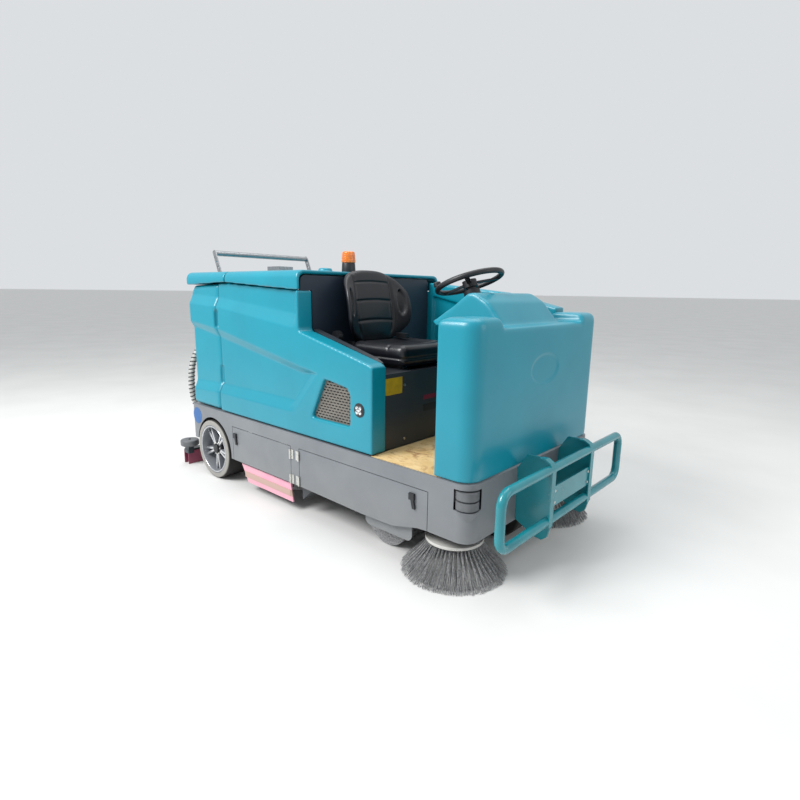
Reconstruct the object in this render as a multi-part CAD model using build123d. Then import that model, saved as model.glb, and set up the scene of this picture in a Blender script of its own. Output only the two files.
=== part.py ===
"""Ride-on sweeper with scrubbing deck, modelled as an assembly of separate sub-parts.

Frame: +X is the driving direction, +Y is the driver's left, +Z is up. The origin is on the floor,
under the middle of the machine's length and width. All lengths are in millimetres.

Heights are dimensioned from the body's datum plane, which runs ride_height above the floor, and
every piece is lifted by ride_height as it is written.
"""

from build123d import *
import math
import os

# ---------------------------------------------------------------- overall sizes
ride_height = 56.0            # from the floor to the body's datum plane
floor_z = -ride_height
half_length = 1500.0          # from the middle to the bumper's face and to the squeegee's back
body_width = 1316.0           # grey lower body, side to side
body_front = 1304.0           # nose of the lower body
body_rear = -1300.0           # back of the lower body
deck_height = 472.0           # top of the lower body, which is also the cab floor
roof_height = 1452.0          # top of the roof lids
sheet = 8.0                   # wall of the welded lower body
skin = 8.0                    # wall of the moulded covers
gap = 8.0                     # shut line between covers
half_width = body_width / 2

# ---------------------------------------------------------------- running gear
rear_axle_x = -988.0
rear_wheel_radius = 220.0
rear_wheel_z = floor_z + rear_wheel_radius
rear_wheel_width = 200.0
rear_wheel_outer = half_width + 10.0
rim_radius = 182.0
axle_radius = 20.0
running_clearance = 0.08      # radial play of a shaft in its bore
arch_gap = 20.0
front_axle_x = 1050.0
front_wheel_radius = 190.0
front_wheel_z = floor_z + front_wheel_radius
front_wheel_width = 120.0
kingpin_radius = 32.0

# ---------------------------------------------------------------- sweeping and scrubbing gear
broom_x = 1108.0
broom_y = 493.0
broom_radius = 280.0
broom_disc_radius = 150.0
broom_disc_z = 108.0
broom_disc_thickness = 16.0
broom_pivot_x = 885.0
broom_pivot_y = 470.0
broom_pivot_z = 238.0
main_broom_x = 690.0
main_broom_radius = 148.0
main_broom_z = floor_z + main_broom_radius + 1.0
main_broom_half = 560.0
deck_front = -58.0            # scrub deck, from front to back
deck_rear = -645.0
deck_side = 632.0
scrub_disc_radius = 262.0
scrub_disc_y = 288.0
squeegee_pivot_x = -1120.0
squeegee_pivot_z = 262.0
squeegee_half = 662.0

# ---------------------------------------------------------------- lower doors
front_door_x = (46.0, 1056.0)
rear_door_x = (-716.0, -42.0)
door_top = 384.0
door_bottom = 144.0
door_thickness = 6.0
door_gap = 4.0
nose_bottom = 182.0
tail_bottom = 205.0
hinge_radius = 6.0
hinge_pin_radius = 3.0

# ---------------------------------------------------------------- upper covers
cover_side = half_width - 4.0
cover_bottom = deck_height + gap
cover_depth = 108.0           # how far a side cover reaches inwards
seam_x = -870.0               # between the side cover and the rear side door
tail_x = -1262.0
lid_seam_x = -737.0
bulkhead_x = 60.0             # front of the tank bay, behind the seat
tank_rear = tail_x + 12.0       # back wall of both tanks
cover_nose_x = 668.0
cover_nose_top = 953.0
step_z = 1100.0
lid_edge = ((tail_x, 1364.0), (lid_seam_x, 1383.0), (bulkhead_x + 2, 1340.0))
lid_wall = 22.0
shell_rear_x = 1082.0
shell_front_x = 1300.0
shell_half = 656.0
shell_top = 1228.0
saddle_top = 1180.0
hood_half = 300.0
hood_top = 1335.0

# ---------------------------------------------------------------- cab
seat_box_front = 652.0
seat_box_top = 900.0
seat_rear = 72.0              # back of the backrest
seat_front = 640.0
seat_y = -130.0
seat_width = 500.0
seat_top = 1044.0
seat_back_top = 1464.0
steering_x = 846.0
steering_y = -70.0
steering_z = 1392.0
steering_radius = 196.0
steering_rim = 15.0
steering_tilt = 20.0          # degrees between the steering shaft and the vertical
bumper_face = half_length
bumper_tube = 23.0
bumper_half = 705.0


# ================================================================ helpers
def block(x, y, z):
    """Box between two corners, given as (low, high) on each axis."""
    size = [high - low for low, high in (x, y, z)]
    middle = [(low + high) / 2 for low, high in (x, y, z)]
    return Pos(*middle) * Box(*size)


def rod(axis, centre, radius, length):
    """Cylinder along X, Y or Z about its centre point."""
    turn = {"x": Rot(0, 90, 0), "y": Rot(90, 0, 0), "z": Rot(0, 0, 0)}[axis]
    return Pos(*centre) * turn * Cylinder(radius, length)


def side_profile(points, y):
    """Solid whose outline is given in the XZ plane and which spans y = (low, high)."""
    wire = Wire.make_polygon([Vector(px, y[0], pz) for px, pz in points], close=True)
    return Solid.extrude(Face(wire), Vector(0, y[1] - y[0], 0))


def plan_profile(points, z):
    """Solid whose outline is given in the XY plane and which spans z = (low, high)."""
    wire = Wire.make_polygon([Vector(px, py, z[0]) for px, py in points], close=True)
    return Solid.extrude(Face(wire), Vector(0, 0, z[1] - z[0]))


def rounded(part, axis, radius, keep=None):
    """Round the edges that run along an axis, or those that keep() picks."""
    edges = part.edges().filter_by(axis)
    if keep is not None:
        edges = edges.filter_by(keep)
    return fillet(edges, radius)


def tube_path(points, radii, radius):
    """Round bar along straight runs joined by tangent arcs."""
    path = FilletPolyline(*points, radius=radii) if radii else Polyline(*points)
    start = Plane(origin=path @ 0, z_dir=path % 0)
    return sweep(start * Circle(radius), path=path)


def one_solid(part):
    """The single solid of a part that is meant to be one piece."""
    solids = part.solids()
    if len(solids) != 1:
        raise ValueError(f"expected one solid and got {len(solids)}")
    return solids[0]


parts = {}


# ================================================================ lower body
def corner_roller_centre(side):
    """Axis of the bumper roller in a front corner, on the side -1 (right) or 1 (left)."""
    return (body_front - roller_inset, side * (half_width - roller_inset))


roller_inset = 50.0
roller_radius = 56.0
corner_radius = 75.0
roller_z = (346.0, 440.0)
roller_recess_gap = 10.0
flap_x = (598.0, 937.0)
flap_bottom = 70.0
rail_y = 262.0
hanger_y = (410.0, 450.0)


def make_chassis_frame():
    """Welded lower body: outer skirt, floor plate, rails, wheel hangers and stub axles."""
    outer = block((body_rear, body_front), (-half_width, half_width), (door_bottom, deck_height))
    outer = rounded(outer, Axis.Z, corner_radius, lambda e: e.center().X > 0)
    outer = rounded(outer, Axis.Z, 40.0, lambda e: e.center().X < 0)
    cavity = block(
        (body_rear + sheet, body_front - sheet),
        (-half_width + sheet, half_width - sheet),
        (0, deck_height - sheet),
    )
    cavity = rounded(cavity, Axis.Z, corner_radius - sheet, lambda e: e.center().X > 0)
    cavity = rounded(cavity, Axis.Z, 40.0 - sheet, lambda e: e.center().X < 0)
    frame = outer - cavity
    wide = (-half_width - 1, half_width + 1)
    frame -= block((front_door_x[1], body_front + 1), wide, (0, nose_bottom))
    frame -= block((body_rear - 1, rear_axle_x), wide, (0, tail_bottom))
    # door openings: two on the right, one on the left
    for door, sides in ((front_door_x, (-1, 1)), (rear_door_x, (-1,))):
        for side in sides:
            low, high = sorted((side * (half_width + 1), side * (half_width - sheet - 1)))
            opening = (door[0] - door_gap, door[1] + door_gap)
            frame -= block(opening, (low, high), (0, door_top + door_gap))
    # wheel arches
    arch = rear_wheel_radius + arch_gap
    frame -= rod("y", (rear_axle_x, 0, rear_wheel_z), arch, body_width + 2)
    frame -= block((rear_axle_x - arch, rear_axle_x + arch), wide, (0, rear_wheel_z))
    # long rails under the floor plate
    for side in (-1, 1):
        low, high = sorted((side * rail_y, side * (rail_y + 40)))
        frame += block((body_rear + 4, body_front - 4), (low, high), (414, deck_height - 4))
    # corner roller pockets: a flared seat below, a shelf above and a pin through both
    for side in (-1, 1):
        cx, cy = corner_roller_centre(side)
        flare = Solid.make_cone(14, roller_radius + 2, 112)
        frame += Pos(cx, cy, roller_z[0] - 5 - 112) * flare
        pocket_radius = roller_radius + roller_recess_gap
        frame -= rod("z", (cx, cy, sum(roller_z) / 2), pocket_radius,
                     roller_z[1] - roller_z[0] + 10)
        frame += rod("z", (cx, cy, (roller_z[0] + deck_height) / 2 - 6), 10,
                     deck_height - roller_z[0] + 4)
    # wheel hangers and stub axles
    for side in (-1, 1):
        low, high = sorted((side * hanger_y[0], side * hanger_y[1]))
        frame += block((rear_axle_x - 45, rear_axle_x + 45), (low, high), (118, deck_height - 4))
        reach = rear_wheel_outer - 24 - hanger_y[1] + 4
        centre = (rear_axle_x, side * (hanger_y[1] - 4 + reach / 2), rear_wheel_z)
        frame += rod("y", centre, axle_radius, reach)
    # housing of the steering bearing
    bearing = rod("z", (front_axle_x, 0, (400 + deck_height) / 2), kingpin_radius + 22,
                  deck_height - 400)
    frame += bearing
    frame -= rod("z", (front_axle_x, 0, 430), kingpin_radius + running_clearance, 100)
    # side flaps of the sweeping chamber, with the bearings of the main broom
    for side in (-1, 1):
        low, high = sorted((side * (half_width - 34), side * (half_width - 28)))
        flap = block(flap_x, (low, high), (flap_bottom, deck_height - 4))
        flap = rounded(flap, Axis.Y, 36.0, lambda e: e.center().Z < 200)
        frame += flap
        inner, outer_y = sorted((side * (main_broom_half + 12), side * (half_width - 30)))
        frame += rod("y", (main_broom_x, (inner + outer_y) / 2, main_broom_z), 22, outer_y - inner)
        stub = side * (main_broom_half - 4)
        inner, outer_y = sorted((stub, side * (main_broom_half + 14)))
        frame += rod("y", (main_broom_x, (inner + outer_y) / 2, main_broom_z), 14, outer_y - inner)
    # broom arm pivots and squeegee pivot, each a bracket with a pin
    for side in (-1, 1):
        low, high = sorted((side * (broom_pivot_y - 62), side * (broom_pivot_y - 50)))
        frame += block((broom_pivot_x - 28, broom_pivot_x + 28), (low, high),
                       (broom_pivot_z - 30, deck_height - 4))
        low, high = sorted((side * (broom_pivot_y - 52), side * (broom_pivot_y + 46)))
        frame += rod("y", (broom_pivot_x, (low + high) / 2, broom_pivot_z), 12, high - low)
        low, high = sorted((side * 92, side * 104))
        frame += block((squeegee_pivot_x - 30, squeegee_pivot_x + 30), (low, high),
                       (squeegee_pivot_z - 34, deck_height - 4))
    frame += rod("y", (squeegee_pivot_x, 0, squeegee_pivot_z), 12, 190)
    return one_solid(frame)


parts["chassis_frame"] = make_chassis_frame()


def make_corner_roller(side):
    """Two-ring bumper roller on its vertical pin."""
    cx, cy = corner_roller_centre(side)
    middle = sum(roller_z) / 2
    height = roller_z[1] - roller_z[0] - 6
    roller = rod("z", (cx, cy, middle), roller_radius, height)
    groove = rod("z", (cx, cy, middle), roller_radius + 1, 9)
    groove -= rod("z", (cx, cy, middle), roller_radius - 12, 9)
    roller -= groove
    roller -= rod("z", (cx, cy, middle), 10 + running_clearance, height + 2)
    return one_solid(roller)


parts["corner_roller_right"] = make_corner_roller(-1)
parts["corner_roller_left"] = make_corner_roller(1)


# ================================================================ lower doors
def door_y(side):
    """Outer and inner face of a lower door."""
    return sorted((side * half_width, side * (half_width - door_thickness)))


def make_door(span, side, notch):
    """Sheet door with an inner flange, and a raised lower front corner where notch is set."""
    x0, x1 = span
    points = [(x0, door_bottom), (x0, door_top), (x1, door_top), (x1, door_bottom)]
    if notch:
        points = [
            (x0, door_bottom), (x0, door_top), (x1, door_top), (x1, nose_bottom),
            (x1 - 60, nose_bottom - 4), (x1 - 236, door_bottom - 8), (x1 - 460, door_bottom - 12),
        ]
    door = side_profile(points, door_y(side))
    flange = [side * (half_width - door_thickness), side * (half_width - 24)]
    far_edge = x0 + 12 if not notch else x1 - 48
    low_z = door_bottom + 60
    door += block((far_edge, far_edge + 6), sorted(flange), (low_z, door_top - 20))
    door += block((x0 + 30, x1 - 30), sorted(flange), (door_top - 26, door_top - 20))
    latch_x, latch_z = latch_place(span, notch)
    door -= rod("y", (latch_x, side * half_width, latch_z), 9 + running_clearance, 80)
    return one_solid(door)


def latch_place(span, notch):
    """Where a door's latch sits: near the edge that opens."""
    return (span[1] - 94.0, 339.0) if notch else (span[0] + 40.0, 327.0)


def make_latch(span, side, notch):
    """Quarter-turn latch: square boss and lever outside, cam inside."""
    x, z = latch_place(span, notch)
    shaft = rod("y", (x, side * (half_width - 1), z), 9, 26)
    outside = sorted((side * (half_width + 1), side * (half_width + 14)))
    boss = block((x - 17, x + 17), outside, (z - 17, z + 17))
    lever = side_profile(
        [(x - 9, z), (x + 9, z), (x + 24, z - 62), (x + 6, z - 62)],
        sorted((side * (half_width + 4), side * (half_width + 12))),
    )
    inside = sorted((side * (half_width - 14), side * (half_width - 8)))
    cam = block((x - 10, x + 10), inside, (z - 18, z + 12))
    return one_solid(shaft + boss + lever + cam)


parts["door_front_right"] = make_door(front_door_x, -1, True)
parts["door_rear_right"] = make_door(rear_door_x, -1, False)
parts["door_left"] = make_door(front_door_x, 1, True)
parts["latch_front_right"] = make_latch(front_door_x, -1, True)
parts["latch_rear_right"] = make_latch(rear_door_x, -1, False)
parts["latch_left"] = make_latch(front_door_x, 1, True)


def hinge_axis(span, side, notch):
    """Vertical hinge line of a door, just outside its hinged edge."""
    x = span[0] - door_gap / 2 if notch else span[1] + door_gap / 2
    return (x, side * (half_width + hinge_radius + 1))


def make_door_hinges():
    """The fixed halves: knuckle and leaf, two on each door's post."""
    pieces = []
    for span, side, notch in ((front_door_x, -1, True), (rear_door_x, -1, False),
                              (front_door_x, 1, True)):
        x, y = hinge_axis(span, side, notch)
        away = -1 if notch else 1
        for z in (176.0, 338.0):
            knuckle = rod("z", (x, y, z), hinge_radius, 60)
            leaf_x = sorted((x + away * 3, x + away * 30))
            leaf_y = sorted((side * (half_width + 0.5), side * (half_width + 3.5)))
            pieces.append(one_solid(knuckle + block(leaf_x, leaf_y, (z - 30, z + 30))))
    return Compound(children=pieces)


parts["door_hinges"] = make_door_hinges()


# ================================================================ rear wheels
def wheel_middle(side):
    """Middle plane of a rear wheel."""
    return side * (rear_wheel_outer - rear_wheel_width / 2)


def make_rear_tyre(side):
    """Solid tyre with rounded shoulders."""
    centre = (rear_axle_x, wheel_middle(side), rear_wheel_z)
    tyre = rod("y", centre, rear_wheel_radius, rear_wheel_width)
    tyre = fillet(tyre.edges(), 14)
    tyre -= rod("y", centre, rim_radius, rear_wheel_width + 2)
    return one_solid(tyre)


def make_rear_rim(side):
    """Dished rim: barrel, deep spoked disc and hub bore."""
    centre = (rear_axle_x, wheel_middle(side), rear_wheel_z)
    rim = rod("y", centre, rim_radius, rear_wheel_width)
    outer_face = side * rear_wheel_outer
    dish = Solid.make_cone(rim_radius - 14, 62, 74)
    dish_turn = Rot(90, 0, 0) if side > 0 else Rot(-90, 0, 0)
    rim -= Pos(rear_axle_x, outer_face, rear_wheel_z) * dish_turn * dish
    back = centre[1] - side * rear_wheel_width / 2
    pocket = rod("y", (rear_axle_x, back + side * 35, rear_wheel_z), rim_radius - 14, 72)
    pocket -= rod("y", (rear_axle_x, back + side * 35, rear_wheel_z), 52, 72)
    rim -= pocket
    rim += rod("y", (rear_axle_x, outer_face - side * 82, rear_wheel_z), 52, 40)
    for k in range(5):
        angle = math.radians(90 + 72 * k)
        for spread in (-13, 13):
            a = angle + math.radians(spread)
            hole = rod("y", (rear_axle_x + 110 * math.cos(a), centre[1],
                             rear_wheel_z + 110 * math.sin(a)), 15, 220)
            rim -= hole
    rim -= rod("y", centre, axle_radius + running_clearance, rear_wheel_width + 2)
    return one_solid(rim)


for name, side in (("right", -1), ("left", 1)):
    parts["rear_tyre_" + name] = make_rear_tyre(side)
    parts["rear_rim_" + name] = make_rear_rim(side)


# ================================================================ front drive wheel
def make_front_fork():
    """Steering fork: kingpin, crown and two legs with the axle."""
    crown_z = front_wheel_z + front_wheel_radius + 14
    pin_top = deck_height - 4
    pin = rod("z", (front_axle_x, 0, (crown_z + pin_top) / 2), kingpin_radius, pin_top - crown_z)
    crown = block((front_axle_x - 60, front_axle_x + 60), (-92, 92), (crown_z - 6, crown_z + 12))
    fork = pin + crown
    for side in (-1, 1):
        leg = block((front_axle_x - 36, front_axle_x + 36), sorted((side * 76, side * 92)),
                    (front_wheel_z - 40, crown_z))
        fork += leg
    fork += rod("y", (front_axle_x, 0, front_wheel_z), 16, 172)
    return one_solid(fork)


def make_drive_wheel():
    """Drive wheel: hub motor drum and bonded tyre, as two solids."""
    centre = (front_axle_x, 0, front_wheel_z)
    tyre = fillet(rod("y", centre, front_wheel_radius, front_wheel_width).edges(), 12)
    tyre -= rod("y", centre, 132, front_wheel_width + 2)
    hub = rod("y", centre, 131.9, front_wheel_width)
    hub -= rod("y", centre, 16 + running_clearance, front_wheel_width + 2)
    return Compound(children=[one_solid(tyre), one_solid(hub)])


parts["front_fork"] = make_front_fork()
parts["drive_wheel"] = make_drive_wheel()


# ================================================================ side brooms
def make_broom_arm(side):
    """Arm from the pivot to the broom motor, with the motor can on it."""
    y0 = side * broom_pivot_y
    y1 = side * broom_y
    eye = rod("y", (broom_pivot_x, y0, broom_pivot_z), 26, 84)
    half = 26
    bar = plan_profile(
        [(broom_pivot_x - 6, y0 - half), (broom_x, y1 - half), (broom_x, y1 + half),
         (broom_pivot_x - 6, y0 + half)],
        (broom_pivot_z - 22, broom_pivot_z + 6),
    )
    top = broom_pivot_z + 38
    can = rod("z", (broom_x, y1, (156 + top) / 2), 56, top - 156)
    arm = eye + bar + can
    arm += rod("z", (broom_x, y1, 138), 14, 60)
    arm -= rod("y", (broom_pivot_x, y0, broom_pivot_z), 12 + running_clearance, 90)
    return one_solid(arm)


def make_broom_disc(side):
    """Plastic disc that holds the bristles, bored for the motor shaft."""
    y = side * broom_y
    middle = broom_disc_z + broom_disc_thickness / 2
    disc = rod("z", (broom_x, y, middle), broom_disc_radius, broom_disc_thickness)
    disc = fillet(disc.edges(), 3)
    disc += rod("z", (broom_x, y, broom_disc_z + broom_disc_thickness + 12), 46, 26)
    disc -= rod("z", (broom_x, y, broom_disc_z + 32), 14 + running_clearance, 80)
    return one_solid(disc)


def make_broom_bristles(side):
    """Envelope of the bristles: a hollow cone that flares to the floor."""
    low = floor_z + 1
    height = broom_disc_z - 0.4 - low
    outer = Solid.make_cone(broom_radius, broom_disc_radius - 4, height)
    inner = Solid.make_cone(broom_radius - 70, broom_disc_radius - 64, height + 2)
    return one_solid(Pos(broom_x, side * broom_y, low) * (outer - Pos(0, 0, -1) * inner))


for name, side in (("right", -1), ("left", 1)):
    parts["broom_arm_" + name] = make_broom_arm(side)
    parts["broom_disc_" + name] = make_broom_disc(side)
    parts["broom_bristles_" + name] = make_broom_bristles(side)


# ================================================================ main broom and hopper
def make_main_broom():
    """Cylindrical broom: core tube and bristle sleeve, as two solids."""
    centre = (main_broom_x, 0, main_broom_z)
    length = 2 * main_broom_half
    core = rod("y", centre, 62, length)
    core -= rod("y", centre, 14 + running_clearance, length + 2)
    bristles = rod("y", centre, main_broom_radius, length - 20)
    bristles -= rod("y", centre, 62.1, length)
    return Compound(children=[one_solid(core), one_solid(bristles)])


hopper_x = (10.0, 520.0)
hopper_side = 612.0
hopper_z = (34.0, 400.0)
hopper_ramp = (96.0, 116.0)   # how far the low sill reaches back, and the bin's floor behind it


def make_debris_hopper():
    """Bin behind the main broom, open towards it."""
    x0, x1 = hopper_x
    sill, floor = hopper_ramp
    outline = [(x0, hopper_z[0]), (x0, hopper_z[1]), (x1, hopper_z[1]), (x1, floor),
               (x0 + sill, floor)]
    wall = 4
    hollow = [(x0 + wall, floor + wall), (x0 + wall, hopper_z[1] - wall),
              (x1 + 1, hopper_z[1] - wall), (x1 + 1, floor + wall)]
    bin_outer = side_profile(outline, (-hopper_side, hopper_side))
    return one_solid(bin_outer - side_profile(hollow, (-hopper_side + wall, hopper_side - wall)))


parts["main_broom"] = make_main_broom()
parts["debris_hopper"] = make_debris_hopper()


# ================================================================ scrub deck
scrub_x = (deck_front + deck_rear) / 2


def make_scrub_deck():
    """Deck plate with skirt carriers and the two brush motors on it."""
    plate = block((deck_rear + 16, deck_front - 16), (-deck_side + 8, deck_side - 8), (176, 188))
    for side in (-1, 1):
        wall = sorted((side * (deck_side - 16), side * (deck_side - 8)))
        plate += block((deck_rear + 16, deck_front - 16), wall, (96, 180))
        plate += rod("z", (scrub_x, side * scrub_disc_y, 240), 72, 112)
        plate += rod("z", (scrub_x, side * scrub_disc_y, 140), 16, 90)
    plate += block((scrub_x - 30, scrub_x + 30), (-scrub_disc_y, scrub_disc_y), (186, 220))
    return one_solid(plate)


def make_deck_skirts():
    """Rubber skirts along the deck's two sides, each with a clamp strip."""
    pieces = []
    for side in (-1, 1):
        blade = side_profile(
            [(deck_rear, 128), (deck_front - 16, 128), (deck_front + 6, 6), (deck_rear + 76, 6)],
            sorted((side * (deck_side + 0.2), side * (deck_side + 8))),
        )
        strip = block((deck_rear + 44, deck_front - 16),
                      sorted((side * (deck_side + 8.2), side * (deck_side + 11))), (40, 82))
        pieces += [one_solid(blade), one_solid(strip)]
        carrier = sorted((side * (deck_side - 7.8), side * deck_side))
        pieces.append(one_solid(block((deck_rear + 20, deck_front - 20), carrier, (96, 128))))
    return Compound(children=pieces)


def make_scrub_brush(side):
    """Disc brush: backing plate with bristles below."""
    y = side * scrub_disc_y
    plate = rod("z", (scrub_x, y, 84), scrub_disc_radius, 18)
    brush = plate + rod("z", (scrub_x, y, 42), scrub_disc_radius - 8, 70)
    brush -= rod("z", (scrub_x, y, 36), 70, 78)
    brush += rod("z", (scrub_x, y, 112), 44, 44)
    brush -= rod("z", (scrub_x, y, 120), 16 + running_clearance, 120)
    return one_solid(brush)


parts["scrub_deck"] = make_scrub_deck()
parts["deck_skirts"] = make_deck_skirts()
parts["scrub_brush_right"] = make_scrub_brush(-1)
parts["scrub_brush_left"] = make_scrub_brush(1)


# ================================================================ rear squeegee
squeegee_beam = 60.0
blade_offset = squeegee_beam / 2 + 3
blade_thickness = 6.0
squeegee_back = -half_length + blade_offset + blade_thickness / 2
squeegee_points = ((squeegee_back + 20, -squeegee_half), (squeegee_back, -260.0),
                   (squeegee_back, 260.0), (squeegee_back + 20, squeegee_half))
squeegee_z = (34.0, 64.0)
blade_top = 52.0
squeegee_roller_radius = 70.0
squeegee_roller_z = (100.0, 148.0)
squeegee_port = (squeegee_back, -240.0)


def squeegee_band(offset, width, z):
    """Plan outline that follows the squeegee's bent line."""
    front = [(x + offset + width / 2, y) for x, y in squeegee_points]
    back = [(x + offset - width / 2, y) for x, y in reversed(squeegee_points)]
    return plan_profile(front + back, z)


def roller_place(side):
    """Axis of a squeegee end roller."""
    return (squeegee_back + 46, side * (squeegee_half - 24))


def make_squeegee_frame():
    """Bent carrier beam, lift arm and the suction port."""
    low, high = squeegee_z
    frame = squeegee_band(0, squeegee_beam, squeegee_z)
    arm_low = high - 4
    frame += side_profile(
        [(squeegee_back, arm_low), (squeegee_back, arm_low + 30), (-1200, arm_low + 30),
         (squeegee_pivot_x - 26, squeegee_pivot_z), (squeegee_pivot_x + 26, squeegee_pivot_z),
         (squeegee_pivot_x + 26, arm_low)], (-40, 40))
    frame += rod("y", (squeegee_pivot_x, 0, squeegee_pivot_z), 30, 80)
    frame -= rod("y", (squeegee_pivot_x, 0, squeegee_pivot_z), 12 + running_clearance, 90)
    px, py = squeegee_port
    port = (low + 6, high + 56)
    frame += rod("z", (px, py, sum(port) / 2), 26, port[1] - port[0])
    frame -= rod("z", (px, py, sum(port) / 2), 20, port[1] - port[0] + 2)
    for side in (-1, 1):
        rx, ry = roller_place(side)
        pad = block((squeegee_back, rx + 18), (ry - 22, ry + 22), (low, squeegee_roller_z[0] - 4))
        frame += pad
        top = squeegee_roller_z[1] + 6
        frame += rod("z", (rx, ry, (low + top) / 2), 8, top - low)
    return one_solid(frame)


def make_squeegee_blades():
    """Front and rear rubber blades, as two solids."""
    rear = squeegee_band(-blade_offset - 0.1, blade_thickness - 0.2, (floor_z + 1, blade_top))
    front = squeegee_band(blade_offset + 0.1, blade_thickness - 0.2, (floor_z + 3, blade_top))
    for side in (-1, 1):
        rx, ry = roller_place(side)
        front -= block((rx - 40, rx + 40), (ry - 24, ry + 24), (squeegee_z[0] - 2, blade_top + 1))
    return Compound(children=[one_solid(rear), one_solid(front)])


def make_squeegee_roller(side):
    """Deflector roller at the squeegee's end."""
    rx, ry = roller_place(side)
    low, high = squeegee_roller_z
    roller = fillet(rod("z", (rx, ry, (low + high) / 2), squeegee_roller_radius, high - low).edges(), 10)
    roller -= rod("z", (rx, ry, (low + high) / 2), 8 + running_clearance, high - low + 10)
    return one_solid(roller)


parts["squeegee_frame"] = make_squeegee_frame()
parts["squeegee_blades"] = make_squeegee_blades()
parts["squeegee_roller_right"] = make_squeegee_roller(-1)
parts["squeegee_roller_left"] = make_squeegee_roller(1)

# ================================================================ suction hose
hose_radius = 24.0
hose_route = (
    (tank_rear - 3.0, -470.0, 960.0),
    (-1296.0, -474.0, 958.0),
    (-1342.0, -500.0, 930.0),
    (-1366.0, -544.0, 866.0),
    (-1378.0, -586.0, 770.0),
    (-1380.0, -606.0, 640.0),
    (-1382.0, -600.0, 510.0),
    (-1390.0, -560.0, 400.0),
    (-1406.0, -490.0, 318.0),
    (-1424.0, -400.0, 272.0),
    (-1444.0, -326.0, 250.0),
    (-1458.0, -270.0, 228.0),
    (squeegee_port[0], squeegee_port[1], 178.0),
    (squeegee_port[0], squeegee_port[1], squeegee_z[1] + 56.3),
)


def route_radii(route):
    """Largest arc at each corner that its two runs leave room for."""
    radii = []
    for a, b, c in zip(route, route[1:], route[2:]):
        first, second = Vector(*b) - Vector(*a), Vector(*c) - Vector(*b)
        turn = math.radians(first.get_angle(second))
        radii.append(0.45 * min(first.length, second.length) / math.tan(turn / 2))
    return radii


def make_squeegee_hose():
    """Suction hose from the tank's outlet to the squeegee's port, as a plain tube."""
    radii = route_radii(hose_route)
    print("hose arc radii", [round(r) for r in radii])
    path = FilletPolyline(*hose_route, radius=radii)
    start = Plane(origin=path @ 0, z_dir=path % 0)
    hose = sweep(start * Circle(hose_radius), path=path)
    print("hose length", round(path.length), "volume share",
          round(hose.volume / (math.pi * hose_radius**2 * path.length), 4))
    return one_solid(hose)


parts["squeegee_hose"] = make_squeegee_hose()


# ================================================================ upper covers
def lid_edge_z(x):
    """Height of the shut line between the roof lids and the side covers."""
    for (x0, z0), (x1, z1) in zip(lid_edge, lid_edge[1:]):
        if x <= x1:
            return z0 + (z1 - z0) * (x - x0) / (x1 - x0)
    return lid_edge[-1][1]


def shell_from_side(points, side, depth):
    """Side cover: an outer skin with a rim turned inwards, open on the inside."""
    outer = side_profile(points, sorted((side * cover_side, side * (cover_side - depth))))
    outline = Wire.make_polygon([Vector(x, 0, z) for x, z in points], close=True)
    ring = Face(offset(outline, -skin).wires()[0])
    cavity = Solid.extrude(ring, Vector(0, 1, 0) * (depth + 2))
    low = min(side * (cover_side - skin), side * (cover_side - depth - 2))
    return outer - Pos(0, low, 0) * cavity


def make_side_shell_right():
    """Right side cover: tall behind the bulkhead, stepped down beside the seat."""
    top = lid_edge_z(seam_x) - gap
    points = [
        (seam_x + gap / 2, cover_bottom),
        (seam_x + gap / 2, top),
        (lid_seam_x, lid_edge_z(lid_seam_x) - gap),
        (bulkhead_x + 2, lid_edge_z(bulkhead_x) - gap),
        (bulkhead_x + 2, step_z),
        (cover_nose_x - 30, cover_nose_top + 4),
        (cover_nose_x, cover_nose_top - 26),
        (cover_nose_x, cover_bottom),
    ]
    shell = shell_from_side(points, -1, cover_depth)
    shell -= side_profile(grille_outline, (-cover_side - 1, -cover_side + skin + 1))
    return one_solid(shell)


grille_outline = ((167.0, 606.0), (285.0, 846.0), (475.0, 816.0), (499.0, 780.0), (497.0, 606.0))


def make_side_grille():
    """Perforated plate behind the opening, with the round latch boss beside it."""
    grown = [(x + (18 if x > 330 else -18), z + (18 if z > 700 else -18))
             for x, z in grille_outline]
    plate = side_profile(grown, (-cover_side + skin + 0.3, -cover_side + skin + 3.3))
    rows, columns = 9, 8
    for row in range(rows):
        z = 634 + row * 22
        shift = 19 * (row % 2)
        low = 196 + (z - 606) * 0.49
        for column in range(columns):
            x = low + shift + column * 38
            if x + 13 < 478:
                slot = block((x - 11, x + 11), (-cover_side + 4, -cover_side + 16), (z - 4, z + 4))
                plate -= slot
    return one_solid(plate)


def make_rear_side_door():
    """Moulded door at the right rear, wrapped round the corner."""
    points = [
        (tail_x, cover_bottom), (tail_x, lid_edge_z(tail_x) - gap),
        (seam_x - gap / 2, lid_edge_z(seam_x) - gap), (seam_x - gap / 2, cover_bottom),
    ]
    shell = shell_from_side(points, -1, cover_depth)
    return one_solid(shell)


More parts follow.
